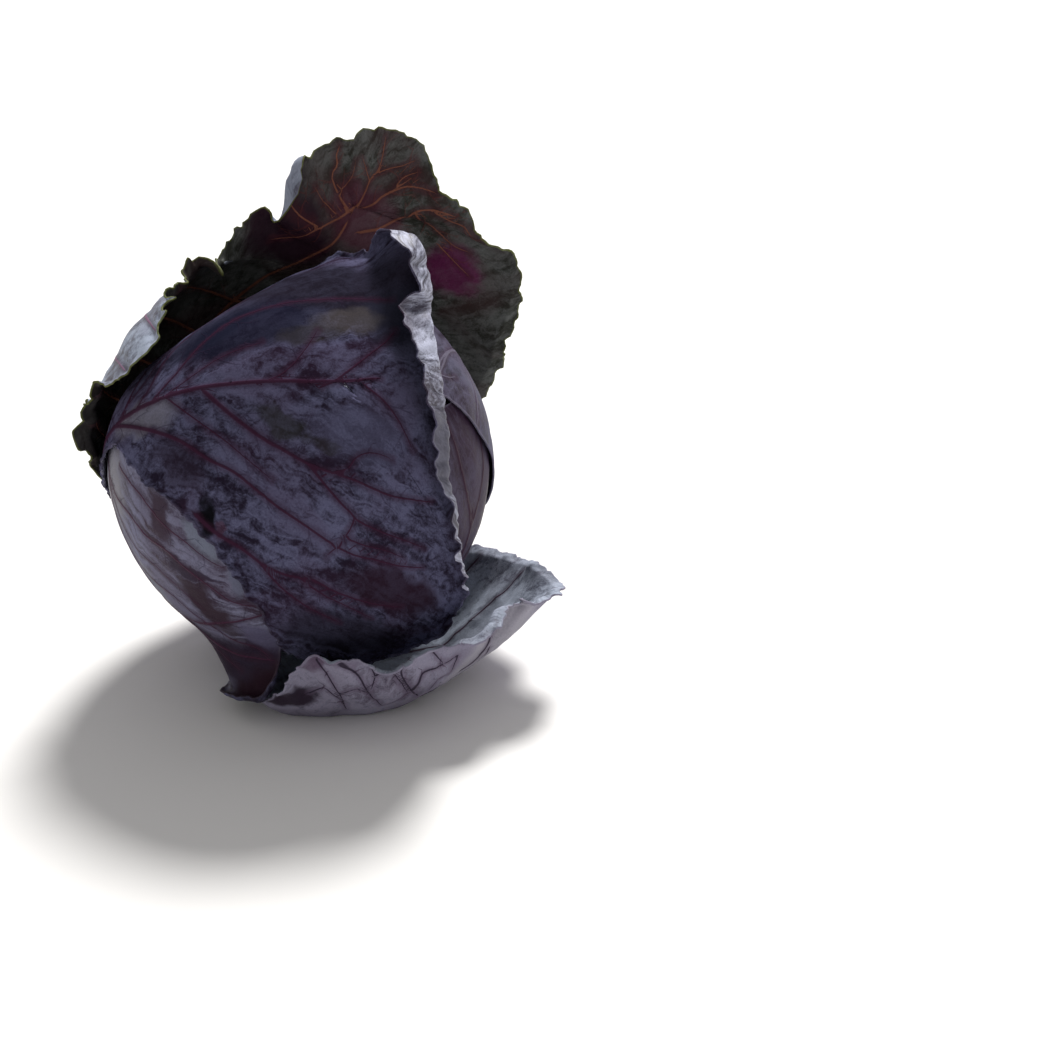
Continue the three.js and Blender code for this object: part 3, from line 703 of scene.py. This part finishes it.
# the leaf below it, on the left
sideLeaf = {
    "name": "sideLeaf",
    "layer": 1,
    "centre": (-0.817, -0.225, -0.531),
    "towards": (0.883, -0.311, 0.352),
    "power": 3,
    "waves": [(11, 1.0), (19, 0.2)],
    "columns": 240,
    "rings": 60,
    "rimRings": 12,
    "frill": 0.2,
    "frillSize": 8,
    "jag": 1.2,
    "jagSize": 7,
    "ridge": 0.5,
    "pillow": 0.35,
    "quilt": 0.1,
    "rough": 0.22,
    "crease": 0.6,
    "seed": 23,
    "midribHalfWidth": 1.6,
    "branchEvery": 12,
    "branchLength": 12,
    "veins": [
        (0.8, [[15.3, -57.6], [36, -49.9], [56, -47.8], [70.8, -42.4],
            [79.2, -40], [88.9, -33.2], [99.3, -23.6], [105.8, -15.8], [115.6, -10.1]]),
        (0.5, [[17.8, -56.6], [40.7, -41.9], [52, -34], [70.8, -28.5],
            [81.2, -22], [90, -10.4]]),
        (0.75, [[25.8, -52.3], [44.3, -24], [60.7, -17.9], [74.3, -13.2],
            [79.7, -6.4], [85.9, 1.4], [89.7, 10.9], [99.8, 16.6], [104.1, 22.3]]),
        (0.5, [[42.6, -63.6], [63.5, -60.1], [81.1, -50.6], [91.6, -44.9],
            [100.5, -37.7], [107.8, -32.4]]),
        (0.6, [[36.8, -29.7], [49.9, -13.4], [57.9, -1.9], [64.1, 8.9],
            [70, 17.6], [81.6, 23.5], [89.2, 27.2]]),
        (0.5, [[44.4, -19.7], [56.6, -4.9], [64.2, 9.5], [71.3, 25.5],
            [76.5, 43.6]]),
    ],
    "laterals": [(1, 4, (0.0, 0.8), (0.4, 0.95), 0.9)],
    "midrib": [[-23.6, 0, 0], [0, 2, 0], [24, 3, 0], [42, 0, 0]],
    "right": [
        [-23.6, 0, 0, 0, 1, 0], [-24, 6, 0, 0, 1, 0], [-20, 17, 0, 0, 1.5, 0],
        [-16, 30, 0, 0, 2, 0], [-2, 40, 0, 0.3, 2, 0], [13, 37, 3, 0.3, 2, 20],
        [24, 28.5, 10, 0.5, 4, 90], [32, 22, 15, 0.6, 7, 160], [40, 21, 17.5, 0.8, 8, 175],
        [46, 21.3, 17, 0.8, 8, 175], [50.5, 19, 9, 0.6, 5, 120], [57, 11, 0.5, 0.2, 2, 20],
        [66, 1, -0.3, 0, 2, 0], [73, -10, -0.7, 0, 2, 0],
    ],
    "left": [
        [-23.6, 0, 0, 0, 1, 0], [-24, -6, 0, 0, 1, 0], [-21, -17, 0, 0, 1.5, 0],
        [-18, -34, 0, 0, 2, 0], [-6, -54, 0, 0, 2, 0], [12, -66, 0, 0, 2, 0],
        [30, -65, -0.2, 0, 2, 0], [46, -57, -0.3, 0, 2, 0], [64, -42, -0.5, 0, 2, 0],
        [72, -25, -0.8, 0, 2, 0], [73, -10, -0.7, 0, 2, 0],
    ],
}
sideOuter = leafSkin("sideLeafOuter", {
    **baseLook,
    "rimStrength": 0.05,
    "skin": (0.040, 0.028, 0.046),
    "bloom": (0.170, 0.168, 0.250),
    "wax": 0.55,
    "slant": -2.0,
    "middle": 40.0,
    "streak": 1.9,
    "speck": 0.8,
    "rib": (0.055, 0.018, 0.040),
    "spots": [
        (28, -50, 26, 22, 0, (0.210, 0.205, 0.235), 0.85),      # pale by the base
        (99, -46, 14, 6, 45, (0.150, 0.165, 0.225), 0.9),       # pale waxy patches
        (114, -28, 11, 5, 110, (0.120, 0.126, 0.185), 0.85),
        (60, -14, 14, 7, 60, (0.150, 0.156, 0.200), 0.8),
        (106, 12, 14, 9, 80, (0.095, 0.086, 0.150), 0.85),
        (77, -54, 15, 7, 71, (0.040, 0.024, 0.040), 0.95),      # maroon patches
        (92, -12, 22, 9, 76, (0.034, 0.019, 0.030), 0.97),
        (93, -31, 16, 3, 29, (0.030, 0.020, 0.038), 0.95),
        (70, 16, 22, 7, 35, (0.026, 0.016, 0.036), 0.85),
        (96, 26, 32, 15, 10, (0.018, 0.009, 0.022), 0.94),
        (104, 40, 36, 16, -20, (0.019, 0.006, 0.013), 0.96),
    ],
})
sideInner = leafSkin("sideLeafInner", {**baseLook, "rimStrength": 0.05})
buildLeaf(sideLeaf, "side_leaf", sideOuter, sideInner)


# the two leaves inside them, on the right
farLeaf = {
    "name": "farLeaf",
    "layer": 2,
    "centre": (0.642, 0.588, 0.492),
    "towards": (0.883, -0.311, 0.352),
    "power": 5,
    "waves": [(13, 0.7), (23, 1.9)],
    "columns": 210,
    "rings": 52,
    "rimRings": 6,
    "frill": 0.0,
    "frillSize": 9,
    "jag": 0.6,
    "jagSize": 8,
    "ridge": 0.35,
    "pillow": 0.5,
    "quilt": 0.15,
    "rough": 0.2,
    "crease": 0.1,
    "seed": 37,
    "midribHalfWidth": 2.0,
    "branchEvery": 11,
    "branchLength": 15,
    "veins": [
        (0.6, [[228.8, 27.8], [219.8, 24.9], [208.8, 18.5], [194.7, 8.4]]),
        (0.45, [[228.8, 27.8], [227, 21.4], [221.4, 14.3]]),
    ],
    "laterals": [(1, 8, (0.05, 0.92), (0.3, 0.95), 1.0), (-1, 8, (0.05, 0.92), (0.3, 0.95), 1.0)],
    "midrib": [[-114.4, 0, 0], [-70, -1, 0], [-30, 0, 0], [10, 2, 0], [34, 4, 0]],
    "right": [
        [-114.4, 0, 0, 0, 1, 0], [-115, 6, 0, 0, 1, 0], [-106, 18, 0, 0, 1.5, 0],
        [-90, 40, 0.3, 0, 2, 0], [-55, 66, 0.5, 0.2, 2, 0], [-15, 76, 0.5, 0.2, 2, 0],
        [25, 66, 0.5, 0.2, 2, 0], [48, 44, 0.4, 0.2, 2, 0], [54.5, 24, 0, 0.2, 2, 0],
        [53, 8, 0.2, 0.2, 2, 0],
    ],
    "left": [
        [-114.4, 0, 0, 0, 1, 0], [-115, -6, 0, 0, 1, 0], [-112, -24, 0, 0, 1.5, 0],
        [-94, -54, 0, 0, 2, 0], [-56, -74, 0, 0.2, 2, 0], [-14, -75, 0.2, 0.2, 2, 0],
        [20, -58, 0.3, 0.2, 2, 0], [38, -34, 0.3, 0.2, 2, 0], [49, -12, 0.2, 0.2, 2, 0],
        [53, 8, 0.2, 0.2, 2, 0],
    ],
}
farOuter = leafSkin("farLeafOuter", {
    **baseLook,
    "bloom": (0.095, 0.090, 0.140),
    "wax": 0.6,
    "rib": (0.150, 0.135, 0.190),
    "ribStrength": 0.7,
})
farInner = leafSkin("farLeafInner", {**baseLook})
buildLeaf(farLeaf, "far_leaf", farOuter, farInner)

underLeaf = {
    **farLeaf,
    "name": "underLeaf",
    "layer": 3,
    "centre": (0.717, -0.361, -0.596),
    "waves": [(12, 0.2), (19, 1.3)],
    "jag": 0.4,
    "pillow": 0.4,
    "seed": 41,
    "veins": [],
    "midrib": [[-113, 0, 0], [-70, 0, 0], [-30, 2, 0], [10, 1, 0], [40, 0, 0]],
    "right": [
        [-113, 0, 0, 0, 1, 0], [-113.4, 6, 0, 0, 1, 0], [-110, 24, 0, 0, 1.5, 0],
        [-90, 54, 0, 0, 2, 0], [-50, 72, 0, 0, 2, 0], [-8, 70, 0, 0, 2, 0],
        [28, 54, 0, 0, 2, 0], [54, 30, 0, 0, 2, 0], [66, 2, 0, 0, 2, 0],
    ],
    "left": [
        [-113, 0, 0, 0, 1, 0], [-113.4, -6, 0, 0, 1, 0], [-104, -18, 0, 0, 1.5, 0],
        [-84, -44, 0, 0, 2, 0], [-46, -70, 0, 0, 2, 0], [-6, -74, 0, 0, 2, 0],
        [32, -60, 0, 0, 2, 0], [58, -34, 0, 0, 2, 0], [66, 2, 0, 0, 2, 0],
    ],
}
underOuter = leafSkin("underLeafOuter", {
    **baseLook,
    "skin": (0.030, 0.016, 0.034),
    "bloom": (0.080, 0.066, 0.105),
    "wax": 0.5,
})
underInner = leafSkin("underLeafInner", {**baseLook})
buildLeaf(underLeaf, "under_leaf", underOuter, underInner)


# the loose leaf that stands up behind
backLeaf = {
    "name": "backLeaf",
    "layer": -2,
    "centre": (-0.499, 0.774, 0.389),
    "towards": (0.24, 0.441, 0.865),
    "power": 1.5,
    "waves": [(16, 0.5), (27, 1.2)],
    "columns": 300,
    "rings": 64,
    "rimRings": 12,
    "leftFeet": ((0.2, 0), (0.95, 1)),
    "frill": 0.9,
    "frillSize": 7,
    "jag": 3.0,
    "jagSize": 7,
    "ridge": 0.3,
    "pillow": 1.1,
    "quilt": 0.3,
    "rough": 0.4,
    "crease": 0.4,
    "seed": 53,
    "midribHalfWidth": 2.6,
    "branchEvery": 9,
    "branchLength": 14,
    "veins": [
        (0.95, [[162.1, -6.2], [161.5, 1.5], [161.3, 7.1], [161.8, 10.1],
            [164.5, 12.3], [165.7, 17], [168, 20.1]]),
        (0.95, [[162.1, -6.2], [166.7, -7], [173.9, -4.8], [178.1, -2.7],
            [183.8, -2.7], [188.5, 0.1], [192.4, 4.1], [195.6, 7.8]]),
        (0.5, [[178.1, -2.7], [178.8, 4.4], [178.4, 11.1]]),
        (0.5, [[181.2, -2.2], [188.1, -7.5], [192.1, -11.3], [198.2, -14.7]]),
        (0.4, [[161.5, 1.5], [169.8, 5.9], [174.4, 11.3]]),
        (0.8, [[166.3, -9.2], [172.8, -11], [177.1, -11.7], [182.6, -13.9],
            [188, -17.1], [192.1, -21.5], [195.5, -26.7]]),
        (1.1, [[157.2, -15.5], [163.5, -21], [169, -23.7], [175.2, -25.5],
            [183.3, -25.8], [188.3, -29.3], [191.9, -34.1], [194.8, -38.7]]),
        (0.7, [[182.8, -26.3], [181.5, -36.1], [181.2, -43.9], [181.4, -52],
            [184.7, -58]]),
        (0.5, [[188.3, -29.3], [191.8, -38.2], [195.1, -45.2], [194.7, -54.5]]),
        (0.8, [[162.1, -6.2], [151.2, -1.5], [143.6, 2.9], [136.5, 7.7],
            [130.9, 14.4]]),
        (0.5, [[147, 0.3], [144.4, 11.4], [143.8, 20.7]]),
        (0.4, [[155.7, -1.7], [153.1, 7.5], [152.4, 14.6]]),
        (0.4, [[182.6, -13.9], [189, -14.3], [195.6, -17.8]]),
        (0.6, [[175.5, -46.8], [174.3, -56.7], [173.4, -65.2]]),
    ],
    "laterals": [(1, 6, (0.05, 0.6), (0.25, 0.62), 1.2), (-1, 5, (0.05, 0.6), (0.25, 0.66), 1.2)],
    "rimInner": True,
    "midrib": [
        [-46.8, 9.4, 0], [-20, 3, 1.5], [0, 0, 4], [20, -2, 6], [35, -5, 8], [44, -6, 14],
        [49, -4.5, 27],
    ],
    "right": [
        [-46.8, 9.4, 0, 0, 1, 0], [-48, 4, 0, 0, 1, 0], [-47, -6, 0, 0, 2, 0],
        [-44, -22, 1, 0.5, 3, 10], [-32, -46, 3, 1.5, 4, 30], [-12, -62, 5, 2.5, 5, 40],
        [8, -70, 8, 3, 6, 40], [26, -71, 12, 3, 6, 40], [42, -64, 19, 3, 6, 30],
        [53, -55, 26, 3, 6, 30], [60.2, -46.5, 34, 3, 5, 20], [63.8, -38.2, 40, 3, 4, 10],
        [64.6, -31.4, 41.4, 3, 3, 0], [64.2, -24, 36.5, 3, 3, 0], [64, -19, 40, 3, 3, 0],
        [62, -13.5, 42, 2.5, 3, 0], [61.2, -9.8, 47, 2.5, 3, 0], [59.2, -5.7, 54.7, 2, 3, 0],
        [54.8, 0, 56.6, 2, 3, 0],
    ],
    "left": [
        [-46.8, 9.4, 0, 0, 1, 0], [-48.5, 15, 0.5, 0, 1, 0], [-49, 24, 0.8, 0, 2, 0],
        [-45, 33, 1.2, 0.5, 3, 10], [-36, 43, 1, 1.5, 6, 50], [-30, 45.2, 1.5, 2, 7, 60],
        [-21, 50, 1.5, 2, 7, 60], [-9, 62, 1.5, 1, 4, 30], [2, 69, 1, 0.4, 3, 10],
        [12, 69, 1, 0.4, 3, 10], [17, 60, 1.3, 0.6, 4, 20], [20, 42, 1.8, 1.5, 6, 60],
        [25, 30, 3, 2, 6, 70], [27.3, 18, 6, 2.5, 6, 60], [35.4, 13, 16.2, 2.5, 5, 20],
        [39.9, 9.9, 17.5, 2.5, 6, -60], [41.9, 10.8, 29.3, 2, 9, -130],
        [43.9, 9.8, 38.8, 2, 7, -110], [46.1, 7, 41.1, 2, 3, 0], [49.3, 4.5, 47.6, 2, 3, 0],
        [51.3, 2.8, 48.5, 2, 3, 0], [54.8, 0, 56.6, 2, 3, 0],
    ],
}
backOuter = leafSkin("backLeafOuter", {
    **baseLook,
    "skin": (0.060, 0.058, 0.080),
    "bloom": (0.32, 0.36, 0.45),
    "wax": 0.62,
    "rib": (0.20, 0.10, 0.17),
    "net": (0.10, 0.08, 0.13),
})
backInner = leafSkin("backLeafInner", {
    **baseLook,
    "skin": (0.026, 0.027, 0.022),
    "bloom": (0.115, 0.120, 0.118),
    "flushColor": (0.050, 0.022, 0.026),
    "flush": 0.5,
    # the orange-red veins, and the red beside and between them, are partly painted light shining
    # through the leaf from behind
    "rib": (0.21, 0.080, 0.052),
    "ribSpread": 0.9,
    "glowColor": (0.060, 0.014, 0.022),
    "net": (0.120, 0.030, 0.026),
    "netStrength": 0.3,
    "rim": (0.19, 0.22, 0.055),
    "rimWidth": 1.0,
    "rimStrength": 0.45,
    "spots": [
        (163, -14, 18, 22, 0, (0.100, 0.018, 0.046), 0.55),     # crimson where the veins meet
        (136, 10, 17, 32, 0, (0.022, 0.007, 0.016), 0.92),      # dark red low down, its darkness partly painted shade where the leaf meets the head
        (170, -58, 17, 15, 0, (0.110, 0.009, 0.064), 0.8),      # magenta, on the right
        # painted shade on the inner face of the left lobes, by the head
        (60, 60, 60, 40, 0, (0.016, 0.012, 0.014), 0.8),
    ],
})
buildLeaf(backLeaf, "back_leaf", backOuter, backInner)


# the loose leaf it lies on, curling up in front
lowerLeaf = {
    "name": "lowerLeaf",
    "layer": -2,
    "centre": (0.12, -0.22, -0.968),
    "towards": (0.62, -0.6, -0.5),
    "power": 2.2,
    "waves": [(15, 0.9), (26, 0.1)],
    "columns": 280,
    "rings": 60,
    "rimRings": 12,
    "frill": 1.4,
    "frillSize": 7,
    "jag": 2.2,
    "jagSize": 5,
    "ridge": 0.4,
    "pillow": 1.3,
    "quilt": 0.5,
    "rough": 0.75,
    "crease": 0.9,
    "seed": 67,
    "midribHalfWidth": 2.4,
    "branchEvery": 12,
    "branchLength": 6,
    "veins": [
        (0.55, [[187.7, -62.9], [183.8, -53.7], [176.5, -42.8], [162.9, -28.3]]),
        (0.6, [[192.4, -54.5], [193.0, -44.4], [184.4, -32.2], [174.6, -17.9]]),
        (0.5, [[198.2, -39.4], [194.1, -35.1], [187.0, -33.3]]),
        (0.45, [[194.1, -35.1], [200.1, -32.0], [186.7, -12.8]]),
        (0.6, [[206.9, -26.0], [202.8, -27.1], [188.3, -12.4], [180.1, -2.2]]),
        (0.9, [[188.3, -12.4], [200.2, -12.3], [204.2, -3.4], [207.8, 1.9]]),
        (0.5, [[207.8, 2.5], [195.8, 4.9]]),
        (0.5, [[202.1, 25.6], [197.0, 25.2], [193.1, 23.0]]),
        (0.5, [[164.6, -50.6], [174.0, -48.7], [171.6, -39.4], [162.9, -28.3]]),
        (0.45, [[211.0, -12.2], [204.2, -3.4]]),
        (0.35, [[177.2, -42.3], [184.2, -39.0], [184.4, -32.2]]),
        (0.35, [[200.1, -32.0], [203.7, -30.7], [205.7, -27.5]]),
        (0.35, [[174.8, -17.7], [182.4, -14.5], [188.3, -12.4]]),
        (0.35, [[186.2, -0.7], [193.9, -1.4], [195.8, 4.9]]),
    ],
    "laterals": [(1, 8, (0.05, 0.95), (0.25, 0.90), 1.1), (-1, 4, (0.05, 0.5), (0.25, 0.5), 1.1)],
    "onTable": True,
    "midrib": [
        [-68.6, -20.3, 0], [-50, -6, 3], [-30, 2, 10], [-8, 4, 18], [14, 4, 20], [30, 3, 22],
    ],
    "right": [
        [-68.6, -20.3, 0, 0, 1, 0], [-68.5, -15, 0, 0, 1, 0], [-66, -4, 0, 0, 1.5, 0],
        [-60, 14, 1, 0.5, 3, 0], [-46, 37, 2, 1.5, 4, 20], [-26, 50, 5, 2.5, 5, 20],
        [-4, 54, 9, 3, 5, 20], [18, 52, 14, 3, 5, 30], [33, 46, 20, 3, 5, 30],
        [43, 38, 27, 3, 5, 30], [48.5, 30, 29, 2.5, 6, 40], [50.5, 24, 25, 2.5, 6, 60],
        [50, 18, 20, 2.5, 6, 70], [50.4, 12, 17.8, 2.5, 7, 70], [50, 6, 17.3, 2.5, 7, 70],
        [47.5, 0.8, 18, 2.5, 7, 70], [45.9, -4, 17, 2.5, 6, 70],
    ],
    "left": [
        [-68.6, -20.3, 0, 0, 1, 0], [-67, -24.5, 0, 0, 1, 0], [-60, -22.5, 1, 0, 1.5, 0],
        [-48, -17, 2, 0, 2, 0], [-32, -14, 3.5, 0.3, 2, 0], [-16.4, -15, 4.4, 0.4, 2, 0],
        [-3, -21, 9, 0.5, 2, 0], [8.8, -28.7, 14, 1, 3, 10], [18.5, -31.3, 12, 1.5, 4, 30],
        [26.7, -33.8, 10, 1.5, 4, 30], [33.5, -33.8, 9.6, 2, 4, 40], [36, -28, 12, 2, 4, 50],
        [38.5, -21, 15, 2, 4, 50], [41.7, -15, 17, 2, 5, 60], [45, -8.9, 15.6, 2, 6, 70],
        [45.9, -4, 17, 2.5, 6, 70],
    ],
}
lowerOuter = leafSkin("lowerLeafOuter", {
    **baseLook,
    "skin": (0.062, 0.050, 0.080),
    "bloom": (0.265, 0.250, 0.335),
    "wax": 0.72,
    "streak": 0.8,
    "glowColor": (0.120, 0.085, 0.140),
    "rib": (0.020, 0.014, 0.028),
    "net": (0.045, 0.022, 0.050),
    "netStrength": 0.6,
    "spots": [
        (156, -54, 17, 9, 20, (0.020, 0.010, 0.022), 0.95),     # dark frayed end
        (190, -62, 12, 6, 30, (0.060, 0.022, 0.055), 0.7),
        (205, 26, 34, 20, 30, (0.340, 0.330, 0.375), 0.7),      # painted light where the raised curl on the right catches the lamp
    ],
})
lowerInner = leafSkin("lowerLeafInner", {
    **baseLook,
    "skin": (0.090, 0.095, 0.130),
    "bloom": (0.36, 0.40, 0.49),
    "wax": 0.68,
})
buildLeaf(lowerLeaf, "lower_leaf", lowerOuter, lowerInner)


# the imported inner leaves
heart = {"gap": 0.8, "segments": 160, "rings": 96, "folds": 0.5}
tidySelection()
bpy.ops.mesh.primitive_uv_sphere_add(segments=heart["segments"], ring_count=heart["rings"],
                                     radius=1)
heartPiece = bpy.context.object
heartPiece.name = heartPiece.data.name = "heartLeaves"
heartRadius = head["radius"] - head["thickness"] - 3 * head["pitch"] - heart["gap"]
d = unit(np.array([v.co for v in heartPiece.data.vertices], float))
ridges = ripple(d * head["radius"], 9, 5) * heart["folds"] - 0.3
shape = d * (heartRadius * headForm(d) + ridges)[:, None] + headCentre
heartPiece.data.vertices.foreach_set("co", (shape * mm).astype(np.float32).ravel())
heartPiece.data.update()
bpy.ops.object.shade_smooth()
material, tree, skin = newMaterial("heartLeafSkin")
spot = addNode(tree, "ShaderNodeTexCoord").outputs["Object"]
patch = cloud(tree, spot, 60, 5, 0.6, 1.0)
color = blendColor(tree, ramp(tree, patch, 0.35, 0.65), (0.030, 0.012, 0.036), (0.12, 0.06, 0.13))
tree.links.new(color, skin.inputs["Base Color"])
tree.links.new(ramp(tree, patch, 0.3, 0.7, 0.42, 0.58), skin.inputs["Roughness"])
heartPiece.data.materials.append(material)
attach(heartPiece, "root")
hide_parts("heart")
print("heart done")


# the cut stump
stumpLook = {
    "end": 86.5,
    "sides": 96,
    "rings": ((0.9, 0), (0.8, -0.5), (2.2, -0.35), (4.0, 0.2), (2.6, 0.15)),    # width, depth
}
tidySelection()
start = head["radius"] * float(headForm(stem)) - 3 * head["pitch"]
depth = stumpLook["end"] - start
bpy.ops.mesh.primitive_cylinder_add(vertices=stumpLook["sides"],
                                    radius=head["stumpRadius"] * mm, depth=depth * mm)
stumpPiece = bpy.context.object
stumpPiece.name = stumpPiece.data.name = "cutStump"
bpy.ops.object.mode_set(mode="EDIT")
bpy.ops.mesh.select_mode(type="FACE")
bpy.ops.mesh.select_all(action="DESELECT")
bpy.ops.object.mode_set(mode="OBJECT")
for face in stumpPiece.data.polygons:
    face.select = face.normal.z > 0.9
bpy.ops.object.mode_set(mode="EDIT")
for width, drop in stumpLook["rings"]:
    bpy.ops.mesh.inset(thickness=width * mm, depth=drop * mm)
bpy.ops.object.mode_set(mode="OBJECT")
bevel = stumpPiece.modifiers.new("rounded", "BEVEL")
bevel.width, bevel.segments, bevel.limit_method = 0.7 * mm, 3, "ANGLE"
bpy.ops.object.modifier_apply(modifier=bevel.name)
turn = Vector((0, 0, 1)).rotation_difference(Vector(stem)).to_matrix()
for v in stumpPiece.data.vertices:
    wobble = 1 + 0.03 * noise.noise(v.co * 260) + 0.02 * noise.noise(v.co * 700)
    local = Vector((v.co.x * wobble, v.co.y * wobble, v.co.z))
    local.z += 0.0003 * noise.noise(v.co * 450)
    v.co = turn @ (local + Vector((0, 0, (start + depth / 2) * mm))) + Vector(headCentre * mm)
bpy.ops.object.shade_smooth_by_angle(angle=math.radians(40))
material, tree, skin = newMaterial("stumpFlesh")
spot = addNode(tree, "ShaderNodeTexCoord").outputs["Object"]
patch = cloud(tree, spot, 160, 6, 0.65, 0.5)
color = blendColor(tree, ramp(tree, patch, 0.3, 0.7), (0.50, 0.42, 0.33), (0.72, 0.66, 0.55))
brown = cloud(tree, spot, 70, 4, 0.6, 0.4)
color = blendColor(tree, ramp(tree, brown, 0.52, 0.70, 0.0, 0.75), color, (0.20, 0.12, 0.07))
tree.links.new(color, skin.inputs["Base Color"])
tree.links.new(ramp(tree, patch, 0.3, 0.7, 0.6, 0.8), skin.inputs["Roughness"])
bump = addNode(tree, "ShaderNodeBump", {"Height": patch, "Strength": 0.5, "Distance": 0.0006})
tree.links.new(bump.outputs[0], skin.inputs["Normal"])
stumpPiece.data.materials.append(material)
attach(stumpPiece, "root")
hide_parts("stump")
print("stump done")


# floor, light and camera
studio = {
    "floorColor": (0.86, 0.85, 0.84),
    "floorSize": 14,
    "keyStrength": 4.3,
    "keyAngle": 16,
    "keyFrom": (0.20, 1.0, 1.22),
    "fillStrength": 0.42,
    "cameraAt": (80.96, -874.08, 469.23),
    "cameraAim": (80.96, -13.09, 67.74),
    "lens": 78.67,
}
tidySelection()
bpy.ops.mesh.primitive_plane_add(size=studio["floorSize"], location=(0, 0, -0.0001))
floor = bpy.context.object
floor.name = "studioFloor"
material, tree, skin = newMaterial("paleFloor")
spot = addNode(tree, "ShaderNodeTexCoord").outputs["Object"]
color = blendColor(tree, cloud(tree, spot, 2.0, 2), studio["floorColor"], (0.88, 0.87, 0.86))
tree.links.new(color, skin.inputs["Base Color"])
skin.inputs["Roughness"].default_value = 0.8
skin.inputs["Specular IOR Level"].default_value = 0.2
floor.data.materials.append(material)

key = bpy.data.objects.new("keyLight", bpy.data.lights.new("keyLight", "SUN"))
key.data.energy = studio["keyStrength"]
key.data.angle = math.radians(studio["keyAngle"])
key.data.color = (1.0, 0.99, 0.97)
key.rotation_euler = Vector(studio["keyFrom"]).to_track_quat("Z", "Y").to_euler()
bpy.context.scene.collection.objects.link(key)

world = bpy.data.worlds.new("studioAir")
world.use_nodes = True
air = world.node_tree.nodes["Background"]
air.inputs[0].default_value = (1.0, 0.99, 0.985, 1)
air.inputs[1].default_value = studio["fillStrength"]
bpy.context.scene.world = world
bpy.context.scene.view_settings.view_transform = "Standard"

camera = bpy.data.objects.new("camera", bpy.data.cameras.new("camera"))
camera.data.lens = studio["lens"]
camera.data.sensor_width = 36
camera.data.clip_end = 50
camera.location = Vector(studio["cameraAt"]) * mm
aim = (Vector(studio["cameraAim"]) - Vector(studio["cameraAt"])) * mm
camera.rotation_euler = aim.to_track_quat("-Z", "Y").to_euler()
bpy.context.scene.collection.objects.link(camera)
bpy.context.scene.camera = camera
print("studio done")
